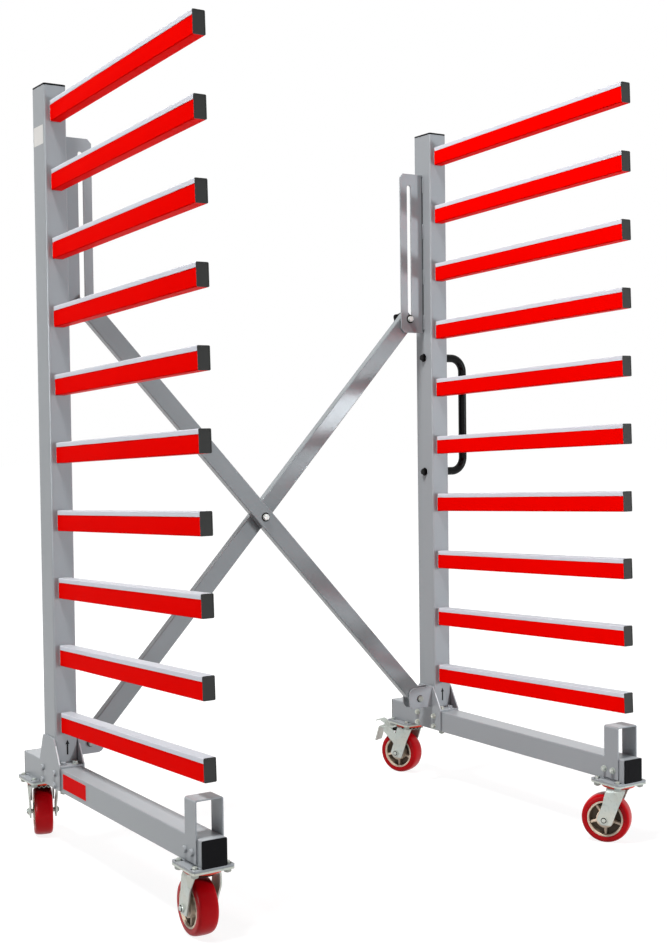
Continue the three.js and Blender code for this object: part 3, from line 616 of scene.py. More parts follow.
def spread(part, finish, places):
    """Copies of a part whose own axis is Z, at (point, direction, spin in degrees)."""
    seeds = mesh_of([point for point, _, _ in places], [])
    turns = seeds.attributes.new("turn", "FLOAT_VECTOR", "POINT")
    for value, (_, direction, spin) in zip(turns.data, places):
        facing = Vector(direction).to_track_quat("Z", "Y").to_matrix()
        value.vector = (facing @ Matrix.Rotation(math.radians(spin), 3, "Z")).to_euler()
    return SPREAD_PARTS.grow(seeds, finish, Part=part)


def weld(size, step, finish, seed, *runs, closed=False):
    """A weld of that width along each run of points."""
    ripple = turned([(0, -0.45), (0.72, -0.3), (1, 0), (0.72, 0.3), (0, 0.45)], sides=8)
    ripple = posed(ripple, Matrix.Diagonal((0.62 * size, size, size, 1)))
    return WELD.grow(path_of(*runs, closed=closed), finish, Ripple=ripple, Step=step, Seed=seed)


def hex_head(flats, height, foot=0.0):
    """A hexagon with its crown chamfered, standing on Z = foot."""
    corner, flat = flats / math.sqrt(3), flats / 2
    rings = [[], [], []]
    for i in range(12):
        t = math.pi * i / 6
        radius = corner if i % 2 == 0 else flat
        lower = 0.24 if i % 2 == 0 else 0.07
        for row, (r, z) in zip(rings, ((radius, 0), (radius, height * (1 - lower)), (0.94 * flat, height))):
            row.append((r * math.cos(t), r * math.sin(t), foot + z))
    points = [p for row in rings for p in row]
    faces = [list(range(11, -1, -1)), list(range(24, 36))]
    for row in (0, 12):
        for i in range(12):
            j = (i + 1) % 12
            faces.append([row + i, row + j, row + 12 + j, row + 12 + i])
    return mesh_of(points, faces)


def washer(diameter, thickness, foot=0.0):
    r, e = diameter / 2, min(0.35, thickness / 3)
    return turned([
        (0, foot), (r - e, foot), (r, foot + e),
        (r, foot + thickness - e), (r - e, foot + thickness), (0, foot + thickness),
    ], sides=28)


def stud(diameter, length, foot):
    """A bolt's threaded end, with its thread as fine rings."""
    r, pitch = diameter / 2, 1.5
    rings = [(0, foot)]
    for i in range(max(1, int(length / pitch))):
        rings += [(r - 0.5, foot + i * pitch), (r, foot + (i + 0.5) * pitch)]
    return turned([*rings, (r - 1, foot + length), (0, foot + length)], sides=20)


def hex_bolt(flats, height, seat, sheet):
    return combined(washer(seat, sheet), hex_head(flats, height, sheet))


def hex_nut(flats, height, seat, sheet, shank, proud):
    return combined(washer(seat, sheet), hex_head(flats, height, sheet), stud(shank, proud, sheet + height - 0.5))


def low_head(diameter, height):
    """A low round head with a softened rim."""
    r = diameter / 2
    rows = [(0, 0), (r, 0), (r, 0.45 * height), (0.94 * r, 0.75 * height), (0.8 * r, height), (0, height)]
    return turned(rows, sides=28)


def frame_pieces(side):
    """Everything that stands still on one rolling frame."""
    sign = SIDES[side]
    inward = -sign
    middle = sign * FRAME_SPACING / 2
    body = BODY_OF[f"post_{side}"]

    def at(x, y, z):
        """A point on this frame; x counts towards the other frame."""
        return Vector((middle + inward * x, y, z))

    def tube(outline, *points):
        return TUBE.grow(path_of(points), GREY, Section=section(outline))

    def upright(mesh, x):
        """A mesh drawn with u along Y and v up, at a distance from the frame's middle plane."""
        return lay(mesh, Y, Z, at(x, 0, 0))

    def facing(mesh, y):
        """A mesh drawn with u towards the other frame and v up, at a depth."""
        made = lay(mesh, X, Z, Vector((0, y, 0)))
        return posed(made, Matrix.Translation((middle, 0, 0)) @ Matrix.Diagonal((inward, 1, 1, 1)))

    # Post and cap
    post = tube(rectangle(POST_WIDTH, POST_DEPTH, POST_CORNER), at(0, 40, POST_BOTTOM), at(0, 40, POST_TOP))
    piece(f"post_{side}", GREY, body, post, stands_for=[f"post_{side}"])
    cap = combined(
        shift(plate([rectangle(POST_WIDTH, POST_DEPTH, POST_CORNER)], 4.8, 1.1), z=2.4),
        shift(plate([rectangle(POST_WIDTH - 8, POST_DEPTH - 8, 3)], 16, 0.5), z=-7.9),
    )
    cap.transform(Matrix.Translation(at(0, 40, POST_TOP + FIT)))
    piece(f"post_cap_{side}", PLUG, body, cap, stands_for=[f"post_cap_{side}"])

    # Base tube, its end plugs and the plates under it
    centre = (BASE_BOTTOM + BASE_TOP) / 2
    base = tube(rectangle(BASE_SIZE, BASE_SIZE, BASE_CORNER), at(0, BASE_FRONT, centre), at(0, BASE_REAR, centre))
    piece(f"base_tube_{side}", GREY, body, base, stands_for=[f"base_tube_{side}"])
    flange = plate([rectangle(BASE_SIZE, BASE_SIZE, BASE_CORNER)], 3.5, 1.2)
    boss = plate([rectangle(34, 34, 4)], 1.2, 0.4)
    for name, y, out in (("base_plug", BASE_FRONT - FIT, -1), ("base_rear_plug", BASE_REAR + FIT, 1)):
        ends = [
            lay(flange, X, Z, at(0, y + out * 1.75, centre)),
            lay(boss, X, Z, at(0, y + out * 3.2, centre)),
        ]
        stands_for = [f"base_plug_{side}"] if name == "base_plug" else []
        piece(f"{name}_{side}", PLUG, body, *ends, stands_for=stands_for)
    width, length = CASTER_PLATE_SIZE
    slots = [rectangle(29, 12, 5.8, (0.86 * u, v)) for u, v in BOLT_PLACES]
    mount = plate([rectangle(width, length, 7), *slots], MOUNT_PLATE, 0.5)
    mounts = [shift(mount, middle, y, MOUNT_TOP - MOUNT_PLATE / 2) for y in CASTER_Y.values()]
    piece(f"mount_plates_{side}", GREY, body, *mounts)
    # Dark sheets in the bottoms of the mount slots: painted shade where no light gets in.
    gaps = [plate([rectangle(28.6, 11.6, 5.6, (0.86 * u, v))], 0.8, 0.2) for u, v in BOLT_PLACES]
    gaps = [shift(gap, middle, y, MOUNT_TOP - 1.3) for y in CASTER_Y.values() for gap in gaps]
    piece(f"slot_gaps_{side}", SHADE_BLACK, body, *gaps)
    runs = [
        [at(s * 30.5, max(y - 50, BASE_FRONT + 1), MOUNT_TOP + 1.2), at(s * 30.5, min(y + 50, BASE_REAR - 1), MOUNT_TOP + 1.2)]
        for y in CASTER_Y.values() for s in (-1, 1)
    ]
    welds = [weld(2.6, 2.6, GREY, 3, *runs)]

    # Post shoe: side plates, ledge and the fork of lugs
    shoe = eased([
        (SHOE_TOE, 170.4, 3), (SHOE_HEEL, 170.4, 3), (SHOE_HEEL, 232.4, 5), (79, 291.4, 12),
        (74, 299.4, 8), (6, 299.4, 10), (0, 289.4, 16), (SHOE_TOE, 232.4, 5),
    ], 4)
    shoe = plate([shoe], SHOE_PLATE, 0.7)
    ledge = plate([rectangle(2 * SHOE_INNER, SHOE_HEEL - SHOE_TOE, 1.5)], LEDGE, 0.6)
    ledge = lay(ledge, X, Y, at(0, (SHOE_TOE + SHOE_HEEL) / 2, BASE_TOP + FIT + LEDGE / 2))
    end, root = PIVOT_INSET + 38, SHOE_OUTER - 0.5
    low, high = PIVOT_HEIGHT - 28, PIVOT_HEIGHT + 33
    lug = eased([(root, low, 0), (end, low, 18), (end, high, 18), (root, high, 0)], 0)
    lug = plate([lug, ring(6.3, (PIVOT_INSET, PIVOT_HEIGHT))], BRACE_PLATE, 0.6)
    fork_side = inward
    lug_planes = [BRACE_PLANE, BRACE_PLANE + fork_side * (LUG_NEAR + BRACE_PLATE / 2)]
    parts = [upright(shoe, s * (SHOE_INNER + SHOE_PLATE / 2)) for s in (-1, 1)]
    parts += [ledge, *(facing(lug, y) for y in lug_planes)]
    piece(f"post_shoe_{side}", GREY, body, *parts, stands_for=[f"post_shoe_{side}"])
    # Pale strips on the shoe plates' sloping front edges: a painted highlight where the cut edge catches light.
    edge_low, edge_high = Vector((0, SHOE_TOE, 232.4)), Vector((0, 0, 289.4))
    slope = (edge_high - edge_low).normalized()
    strip = plate([rectangle(SHOE_PLATE - 1.2, (edge_high - edge_low).length - 15, 0.4)], 0.6, 0.2)
    spot = edge_low.lerp(edge_high, 0.46)
    edges = [lay(strip, X, slope, at(s * (SHOE_INNER + SHOE_PLATE / 2), spot.y, spot.z)) for s in (-1, 1)]
    piece(f"shoe_edges_{side}", EDGE_HIGHLIGHT, body, *edges)
    runs = [
        [at(SHOE_OUTER + 0.3, y + s * 3, low + 4), at(SHOE_OUTER + 0.3, y + s * 3, high - 4)]
        for y in lug_planes for s in (-1, 1)
    ]
    welds.append(weld(2.4, 2.4, GREY, 5, *runs))

    # Slot plate and its stitch welds
    root, end = POST_WIDTH / 2 + FIT, POST_WIDTH / 2 + FIT + 82.5
    low, high = SLIDE_LOW - 41, SLIDE_HIGH + 41
    outline = eased([
        (root, low), (end - 11, low), (end, low + 12), (end, high - 12), (end - 11, high), (root, high),
    ], 1.5)
    slot_middle = (PIVOT_INSET, (SLIDE_LOW + SLIDE_HIGH) / 2)
    slot = rectangle(14, SLIDE_HIGH - SLIDE_LOW + 14, 6.98, slot_middle, steps=9)
    slot_plate = facing(plate([outline, slot], BRACE_PLATE, 0.6), BRACE_PLANE)
    piece(f"slot_plate_{side}", SHEET_GREY, body, slot_plate, stands_for=[f"slot_plate_{side}"])
    # A dark strip along the join of slot plate and post: painted shadow of the gap there.
    joint = plate([rectangle(5, high - low - 8, 1, (root + 2.6, (low + high) / 2))], BRACE_PLATE + 1, 0.4)
    piece(f"slot_joint_{side}", JOINT_SHADOW, body, facing(joint, BRACE_PLANE))
    stitches = [low + 12 + i * (high - low - 64) / 3 for i in range(4)]
    runs = [
        [at(root + 0.6, BRACE_PLANE + s * 3, z), at(root + 0.6, BRACE_PLANE + s * 3, z + 40)]
        for z in stitches for s in (-1, 1)
    ]
    welds.append(weld(4.4, 3.2, GREY, 7, *runs))

    # Stop bracket over the front of the base tube
    outer, low, high = 33.8, BASE_TOP - 53, BASE_TOP + 82
    bend = eased([(-outer + 1.75, low), (-outer + 1.75, high - 1.75), (outer - 1.75, high - 1.75), (outer - 1.75, low)],
                 4, closed=False, steps=6)
    bracket = plate([ribbon(bend, 3.5)], 50, 0.5)
    piece(f"stop_bracket_{side}", GREY, body, facing(bracket, BASE_FRONT + 18 + 25),
          stands_for=[f"stop_bracket_{side}"])

    # Arms, wear strips, end plugs and the welds at the post
    top = LOWEST_ARM_TOP + (ARM_COUNT - 1) * ARM_PITCH
    row = {"Tilt": TILT, "Pitch": ARM_PITCH, "Count": ARM_COUNT, "Top": top}
    tube_outline = eased([(-14.6, 1.4), (14.6, 1.4), (14.6, ARM_HEIGHT), (-14.6, ARM_HEIGHT)], 2.4)
    arms = ARM_ROW.grow(mesh_of([], []), RED, Section=section(tube_outline), From=FIT, To=ARM_LENGTH - 1.5, **row)
    names = [f"arm_{side}_{i:02d}" for i in range(1, ARM_COUNT + 1)]
    piece(f"arms_{side}", RED, body, shift(arms, middle), stands_for=names)
    strip_outline = eased([
        (-15.2, 11.6, 0.4), (-15.2, 0, 2.4), (15.2, 0, 2.4), (15.2, 11.6, 0.4),
        (14.5, 11.6, 0.2), (14.5, 1.5, 1.6), (-14.5, 1.5, 1.6), (-14.5, 11.6, 0.2),
    ], 0.3)
    strips = ARM_ROW.grow(mesh_of([], []), STRIP, Section=section(strip_outline), From=4, To=ARM_LENGTH - 1.6, **row)
    piece(f"arm_strips_{side}", STRIP, body, shift(strips, middle))
    ahead = Vector((0, -math.cos(TILT), math.sin(TILT)))
    down = Vector((0, -math.sin(TILT), -math.cos(TILT)))
    roots = [at(0, 0, top - i * ARM_PITCH) for i in range(ARM_COUNT)]
    rim = [rectangle(ARM_WIDTH, ARM_HEIGHT, 3), rectangle(ARM_WIDTH - 5, ARM_HEIGHT - 5, 2)]
    cap = combined(plate(rim, 1.6, 0.5), shift(plate([rectangle(ARM_WIDTH - 4.6, ARM_HEIGHT - 4.6, 2)], 0.8, 0.2), z=-0.4))
    tips = [(r + ahead * (ARM_LENGTH - 0.9) + down * (ARM_HEIGHT / 2), ahead, 0) for r in roots]
    piece(f"arm_plugs_{side}", ARM_PLUG, body, spread(cap, ARM_PLUG, tips))
    loops = [
        [r + Vector((x, -0.8, -z / math.cos(TILT))) for x, z in rectangle(ARM_WIDTH, ARM_HEIGHT, 3, (0, ARM_HEIGHT / 2), steps=2)]
        for r in roots
    ]
    welds.append(weld(2.2, 2.7, GREY, 11, *loops, closed=True))
    piece(f"welds_{side}", GREY, body, *welds, crease=60)

    # Small bolts and nuts
    across = [(y, z) for y in (0, 81) for z in (210, 179)]
    heads = [(at(-SHOE_OUTER, y, z), -inward * X, 0) for y, z in across]
    heads += [(at(-33.8, y, 194.5), -inward * X, 0) for y in (-731, -762)]
    piece(f"side_bolt_heads_{side}", GREY, body, spread(low_head(17, 5.4), GREY, heads))
    nuts = [(at(SHOE_OUTER, y, z), inward * X, 20 * i) for i, (y, z) in enumerate(across)]
    nuts += [(at(33.8, y, 194.5), inward * X, 25) for y in (-731, -762)]
    piece(f"side_nuts_{side}", ZINC, body, spread(hex_nut(13, 6, 17, 1.5, 8, 3), ZINC, nuts))
    ledge_places = [(s * 16.5, y) for s in (-1, 1) for y in (-14, 90.3)]
    heads = [(at(x, y, BASE_TOP + FIT + LEDGE), Z, 15 + 22 * i) for i, (x, y) in enumerate(ledge_places)]
    bolt = hex_bolt(13, 6, 18, 1.5)
    piece(f"outer_ledge_bolts_{side}", GREY, body, spread(bolt, GREY, heads[:2]))
    piece(f"inner_ledge_bolts_{side}", ZINC, body, spread(bolt, ZINC, heads[2:]))
    heads = [
        (at(u, y + v, MOUNT_TOP - 3), Z, 40 * i)
        for y in CASTER_Y.values() for i, (u, v) in enumerate(BOLT_PLACES)
    ]
    piece(f"caster_bolt_ends_{side}", ZINC, body, spread(hex_head(10.5, 8), ZINC, heads))
    tails = [(at(x, y, BASE_BOTTOM), -Z, 10 * i) for i, (x, y) in enumerate(ledge_places[::2])]
    tails += [
        (at(u, y + v, CASTER_PLATE_BOTTOM), -Z, 30 * i)
        for y in CASTER_Y.values() for i, (u, v) in enumerate(BOLT_PLACES)
    ]
    # The nuts under the plates take the darker zinc copy as painted shade.
    piece(f"upright_nuts_{side}", SHADED_ZINC, body, spread(hex_nut(16, 7, 18.5, 1.2, 10, 2), SHADED_ZINC, tails))

    # Pivot bolt through the fork of lugs
    near, far = sorted((BRACE_PLANE - fork_side * (BRACE_PLATE / 2 + FIT),
                        BRACE_PLANE + fork_side * (LUG_NEAR + BRACE_PLATE + FIT)))
    # The pivot bolt takes the darker zinc copy as painted shade under the lug.
    piece(f"pivot_bolt_{side}", SHADED_ZINC, body, through_bolt(at(PIVOT_INSET, 0, PIVOT_HEIGHT), near, far),
          stands_for=[f"pivot_bolt_{side}"])
    bolt_shade_washer(f"pivot_bolt_{side}", at(PIVOT_INSET, 0, PIVOT_HEIGHT), near, 21)

    # Plain up arrow on the post's foot
    arrow = [(-0.7, 254), (3.7, 254), (3.7, 281), (7, 281), (1.5, 292.5), (-4, 281), (-0.7, 281)]
    piece(f"arrow_{side}", INK, body, facing(plate([arrow], 0.4, 0.1), -0.15))


def lobed_knob():
    """A moulded hand knob with five lobes, standing on Z = 0."""
    turns = [2 * math.pi * i / 60 for i in range(60)]
    radii = [22.4 + 2.6 * math.cos(5 * t) for t in turns]
    lobes = plate([[(r * math.cos(t), r * math.sin(t)) for r, t in zip(radii, turns)]], 15, 3)
    neck = turned([(0, 0), (11, 0), (12.5, 5), (16, 9), (0, 9)], 32)
    crown = turned([(0, 16), (13, 16), (13, 19.2), (11.6, 20), (0, 20)], 32)
    return combined(shift(lobes, z=11.5), neck, crown)


def through_bolt(at, near, far, spacer=None):
    """A brace bolt along Y: head in front, nut behind, a washer under each."""
    front = hex_bolt(15.5, 6.4, 17.5, 1.4)
    back = hex_nut(18, 6, 21, 1.4, 11, 1)
    parts = [
        lay(front, X, Z, Vector((at.x, near, at.z))),
        lay(back, X, -Z, Vector((at.x, far, at.z))),
        lay(turned([(0, 0), (6, 0), (6, far - near), (0, far - near)], 24), X, -Z, Vector((at.x, near, at.z))),
    ]
    if spacer:
        parts.append(lay(washer(30, spacer), X, -Z, Vector((at.x, BRACE_PLANE - spacer / 2, at.z))))
    return combined(*parts)


def bolt_shade_washer(name, at, near, size=25.5):
    """A dark washer under a brace bolt's head: painted shade around the head."""
    piece(f"{name}_seat", SHADE_BLACK, BODY_OF[name], lay(washer(size, 1), X, Z, Vector((at.x, near, at.z))))


def brace_pieces():
    """The two bars of the scissor brace, their end plugs and bolts."""
    bars = {
        "rear": (-1, BAR_NEAR, "slide_bolt_right"),
        "front": (1, -BAR_FAR, "slide_bolt_left"),
    }
    for name, (sign, near, bolt) in bars.items():
        body = BODY_OF[f"brace_bar_{name}"]
        foot = Vector((sign * PIVOT_SPAN / 2, BRACE_PLANE + near + BAR_DEPTH / 2, PIVOT_HEIGHT))
        along = Vector((-sign * math.cos(SPREAD), 0, math.sin(SPREAD)))
        first, last = foot - along * (BAR_OVERHANG - 1.5), foot + along * (BAR_LENGTH + BAR_OVERHANG - 1.5)
        outline = section(rectangle(BAR_DEPTH, BAR_WIDTH, 3))
        bar = TUBE.grow(path_of([first, last]), BRACE_GREY, Section=outline)
        piece(f"brace_bar_{name}", BRACE_GREY, body, bar, stands_for=[f"brace_bar_{name}"])
        flange = plate([rectangle(BAR_DEPTH, BAR_WIDTH, 3)], 2, 0.7)
        across = along.cross(Y)
        ends = [lay(flange, Y, across, first), lay(flange, Y, across, last)]
        piece(f"brace_plugs_{name}", PLUG, body, *ends)
        top = foot + along * BAR_LENGTH
        gaps = (BRACE_PLATE / 2 + BRACE_GAP, BAR_FAR + BRACE_GAP)
        near_face, far_face = (-gaps[0], gaps[1]) if sign < 0 else (-gaps[1], gaps[0])
        made = through_bolt(top, BRACE_PLANE + near_face, BRACE_PLANE + far_face)
        piece(bolt, BRIGHT_ZINC, BODY_OF[bolt], made, stands_for=[bolt])
        bolt_shade_washer(bolt, top, BRACE_PLANE + near_face)
        knob = lay(lobed_knob(), X, -Z, Vector((top.x, BRACE_PLANE + far_face + 8, top.z)))
        piece(f"{bolt}_knob", PLUG, BODY_OF[bolt], knob)
    crossing = Vector((0, 0, PIVOT_HEIGHT + BRACE_RISE / 2))
    reach = BAR_FAR + BRACE_GAP
    made = through_bolt(crossing, BRACE_PLANE - reach, BRACE_PLANE + reach, spacer=BRACE_PLATE)
    piece("crossing_bolt", BRIGHT_ZINC, BODY_OF["crossing_bolt"], made, stands_for=["crossing_bolt"])
    bolt_shade_washer("crossing_bolt", crossing, BRACE_PLANE - reach)


def handle_pieces():
    """The bent pull handle on the right post, its foot rings and its bolts."""
    post = FRAME_SPACING / 2
    face, grip, half = post + POST_WIDTH / 2 + FIT, post + POST_WIDTH / 2 + 86.2, 172.5
    height, depth = 1122, POST_DEPTH / 2
    corners = [(face, -half), (grip, -half), (grip, half), (face, half)]
    route = eased(corners, 48, closed=False, steps=14)
    route = [Vector((x, depth, height + z)) for x, z in route]
    body = BODY_OF["pull_handle"]
    bar = TUBE.grow(path_of(route), GLOSS, Section=section(ring(12.3, sides=28)))
    piece("pull_handle", GLOSS, body, bar, stands_for=["pull_handle"])
    foot = turned([(12.3, 0), (14.5, 0), (15, 0.6), (15, 2.2), (14.5, 2.8), (12.3, 2.8)], 32, loop=True)
    places = [(Vector((face, depth, height + z)), X, 0) for z in (-half, half)]
    piece("handle_foot_rings", GLOSS, body, spread(foot, GLOSS, places))
    inner = post - POST_WIDTH / 2
    places = [(Vector((inner, depth, height + z)), -X, 0) for z in (-half, half)]
    bolt = combined(washer(25, 1.8), shift(low_head(19, 8), z=1.8))
    piece("handle_bolts", GLOSS, body, spread(bolt, GLOSS, places))


def caster_pieces(name):
    """One caster: the still plate and race, the turning fork, the wheel and, behind, the brake."""
    end, side = name.split("_")
    braked = end == "rear"
    still = BODY_OF[f"caster_plate_{name}"]
    swivel = BODY_OF[f"caster_fork_{name}"]
    wheel = BODY_OF[f"wheel_tread_{name}"]
    at = Vector((SIDES[side] * FRAME_SPACING / 2, CASTER_Y[end], 0))
    turn = Matrix.Translation(at) @ Matrix.Rotation(math.radians(SWIVELS[name]), 4, "Z")
    axle = turn @ Matrix.Translation((TRAIL, 0, AXLE_HEIGHT)) @ Matrix.Rotation(math.radians(-90), 4, "X")

    # Plate, ball race and seal
    width, length = CASTER_PLATE_SIZE
    slots = [rectangle(20, 10, 4.9, (0.92 * u, v)) for u, v in BOLT_PLACES]
    top = plate([rectangle(width, length, 7), *slots], 5, 0.7)
    race = turned([(0, 155.6), (38, 155.6), (38, 150), (0, 150)], 48)
    piece(f"caster_plate_{name}", ZINC, still, shift(top, at.x, at.y, CASTER_PLATE_BOTTOM + 2.5),
          shift(race, at.x, at.y), stands_for=[f"caster_plate_{name}"])
    seal = turned([(30, 155.6), (44.4, 155.6), (45, 154.4), (44.6, 151.6), (42, 148.6), (38, 147), (30, 146.9)],
                  64, loop=True)
    piece(f"caster_seal_{name}", SEAL, still, shift(seal, at.x, at.y))
    if braked:
        # Dark collar under the lock teeth: painted shade behind the toothed ring.
        collar = turned([(37.4, 147.4), (39.4, 147.4), (39.4, 143.4), (37.4, 143.4)], 64, loop=True)
        piece(f"lock_collar_{name}", SHADE_BLACK, still, shift(collar, at.x, at.y))
        teeth = [(*point, 147 if i % 2 else 141.4) for i, point in enumerate(ring(40.2, sides=40))]
        edge = TUBE.grow(path_of(teeth, closed=True), ZINC, Section=section(ring(0.8, sides=8)))
        piece(f"lock_ring_{name}", ZINC, still, shift(edge, at.x, at.y))

    # Fork: crown, two pressed legs and the axle bolt
    # The crown is drawn near-black: painted shade under the plate.
    crown = turned([(0, 146.4), (28, 146.4), (29.6, 145.4), (30, 143.4), (29.4, 141.4), (28, 140.6), (0, 140.6)], 48)
    piece(f"caster_crown_{name}", SHADE_BLACK, swivel, posed(crown, turn))
    legs = [fork_leg(sign) for sign in (-1, 1)]
    if braked:
        px, pz = PEDAL_PIVOT
        wing = eased([(38, 88), (px + 9, pz - 8, 7), (px + 9, pz + 9, 7), (px - 15, pz + 8, 4), (36, 126), (34, 118)], 2)
        wing = plate([wing, ring(4.4, PEDAL_PIVOT, 20)], LEG_SHEET - 0.6, 0.6)
        legs += [lay(wing, X, Z, Vector((0, s * (LEG_NEAR + LEG_SHEET / 2), 0))) for s in (-1, 1)]
    piece(f"caster_fork_{name}", ZINC, swivel, *(posed(m, turn) for m in legs),
          stands_for=[f"caster_fork_{name}"], crease=12)
    about = Matrix.Rotation(math.pi, 4, "X")
    nut = shift(combined(hex_head(17, 7.4, 0.8), stud(11, 4, 7.8)), z=LEG_FAR)
    ends = [nut, posed(nut, about)]
    shaft = turned([(0, -LEG_FAR), (6, -LEG_FAR), (6, LEG_FAR), (0, LEG_FAR)], 24)
    piece(f"axle_bolt_{name}", ZINC, swivel, *(posed(m, axle) for m in (shaft, *ends)))
    # Dark washers and rings at the axle nuts: painted shade around the nuts.
    seat = shift(washer(24, 0.8), z=LEG_FAR)
    grip = shift(turned([(4.6, 0), (7.4, 0), (7.4, 0.7), (6.8, 1.1), (4.6, 1.1)], 24, loop=True), z=LEG_FAR + 8)
    dark = (seat, grip, posed(seat, about), posed(grip, about))
    piece(f"axle_washers_{name}", SHADE_BLACK, swivel, *(posed(m, axle) for m in dark))

    # Wheel: tread, rim, hub, spokes and the web between them; the web is dark as painted shade in the pockets
    half = [(63.5, 0), (63.45, 5), (63.25, 10), (62.7, 15), (61.9, 18.4), (60.6, 21), (58.6, 23), (55.5, 24), (47.1, 23.6)]
    rows = [(r, -y) for r, y in half[::-1]] + half[1:]
    piece(f"wheel_tread_{name}", TREAD, wheel, posed(turned(rows, 80, loop=True), axle),
          stands_for=[f"wheel_tread_{name}"])
    rim = turned([(46.8, -22.6), (46.8, 22.6), (46.2, 23.3), (42.6, 23.3), (41.8, 22.4), (41.4, 20), (41.4, -20),
                  (41.8, -22.4), (42.6, -23.3), (46.2, -23.3)], 80, loop=True)
    hub = turned([(6.4, -25.8), (21.2, -25.8), (22.8, -25), (23.2, -23), (23.2, 23), (22.8, 25), (21.2, 25.8), (6.4, 25.8)],
                 56, loop=True)
    spoke = block((22, 6.4, 34), 1.4)
    places = [(Vector((31.5 * math.cos(t), 31.5 * math.sin(t), 0)), Z, math.degrees(t))
              for t in (2 * math.pi * (i + 0.25) / 5 for i in range(5))]
    core = [rim, hub, spread(spoke, CREAM, places)]
    piece(f"wheel_core_{name}", CREAM, wheel, *(posed(m, axle) for m in core), stands_for=[f"wheel_core_{name}"])
    web = turned([(20, -6), (38, -7), (40, -9), (41.5, -18), (41.5, 18), (40, 9), (38, 7), (20, 6)], 64, loop=True)
    piece(f"wheel_web_{name}", SHADED_WEB, wheel, posed(web, axle))

    if braked:
        # A dark block between the legs under the plate: painted shade in that hollow.
        inner, outer = 22, PEDAL_PIVOT[0] - 21
        shade = shift(block((outer - inner, 2 * LEG_NEAR - 1, 9), 0.8), (inner + outer) / 2, 0, 135.5)
        piece(f"brake_block_{name}", SHADE_BLACK, swivel, posed(shade, turn))
        pedal = [posed(m, turn) for m in pedal_parts()]
        piece(f"brake_pedal_{name}", ZINC, BODY_OF[f"brake_pedal_{name}"], *pedal,
              stands_for=[f"brake_pedal_{name}"])


def fork_leg(sign):
    """A pressed leg: rolled over from the crown, leaning back to the axle, its upper front corner folded in."""
    bend, flare = 9, 5
    centre = (LEG_FAR + flare - bend, CROWN_TOP - 0.2 - bend)
    rows = [(14, CROWN_TOP - 0.2)]
    rows += [(centre[0] + bend * math.sin(t), centre[1] + bend * math.cos(t))
             for t in (math.pi / 2 * i / 5 for i in range(6))]
    rows += [
        (LEG_FAR + flare * max(0, (z - 84) / (centre[1] - 84)), z)
        for z in (130, 122, 114, 108, 96, 84, 74, 66, 62.5, 56, 49.5)
    ]
    points = []
    for y, z in rows:
        lean = min(1, max(0, (CROWN_BOTTOM - z) / (CROWN_BOTTOM - 49.5)))
        front = -22 + (TRAIL - 18.5 + 22) * lean
        back = 22 + 28.5 * min(1, max(0, (CROWN_BOTTOM - z) / (CROWN_BOTTOM - 62.5)))
        if z < 62.5:
            back -= 12.5 * (62.5 - z) / 13
        rise = min(1, max(0, (z - 110) / 28))
        folds = (front + 1.5 + 17 * rise, back - 1.5)
        inset = 8 * rise
        for x, step in ((front, inset), (folds[0], 0), ((folds[0] + folds[1]) / 2, 0), (folds[1], 0), (back, 0.4 * inset)):
            points.append((x, sign * (y - step), z))
    count = 5
    faces = []
    for r in range(len(rows) - 1):
        for c in range(count - 1):
            i = r * count + c
            faces.append([i, i + 1, i + count + 1, i + count])
    mesh = mesh_of(points, faces)
    if sign > 0:
        mesh.flip_normals()
    holder = bpy.data.objects.new("leg", mesh)
    sheet = holder.modifiers.new("sheet", "SOLIDIFY")
    sheet.thickness, sheet.offset = LEG_SHEET, -1
    edge = holder.modifiers.new("edge", "BEVEL")
    edge.width, edge.segments, edge.limit_method, edge.angle_limit = 0.8, 2, "ANGLE", math.radians(50)
    return settled(holder)


def pedal_parts():
    """The brake pedal: a bent sheet on a pin, one tab rising with a hook, one folded down."""
    px, pz = PEDAL_PIVOT
    lower = eased([(px - 15.5, pz), (px + 34, pz + 4, 6), (px + 48.4, pz - 42.6)], 6, closed=False, steps=6)
    upper = eased([(px + 5.5, pz + 2.5), (px + 20, pz + 18.5, 9), (px + 34, pz + 25, 8), (px + 48.4, pz + 20.4)], 6,
                  closed=False, steps=6)
    sheets = [plate([ribbon(lower, 4)], 36, 0.7), plate([ribbon(upper, 3.4)], 30, 0.7)]
    pin = turned([(0, -LEG_FAR), (4, -LEG_FAR), (4, LEG_FAR), (0, LEG_FAR)], 20)
    pin = posed(pin, Matrix.Translation((px, 0, pz)) @ Matrix.Rotation(math.pi / 2, 4, "X"))
    return [pin, *(lay(m, X, Z, Vector((0, 0, 0))) for m in sheets)]


def labels():
    """The blank plate on the left base tube and the blank sticker on the left post."""
    outer = -FRAME_SPACING / 2
    body = BODY_OF["post_left"]
    sign = plate([rectangle(145, 38, 2, (-117.5, 198))], 0.9, 0.3)
    piece("blank_red_plate", LABEL_RED, body, lay(sign, Y, Z, Vector((outer - 30.4, 0, 0))))
    sticker = plate([rectangle(62, 48, 2, (40, 1838))], 0.3, 0.1)
    piece("blank_sticker", LABEL_PALE, body, lay(sticker, Y, Z, Vector((outer - 30.1, 0, 0))))


COOL, WARM = (0.94, 0.97, 1.0), (1.0, 0.995, 0.98)


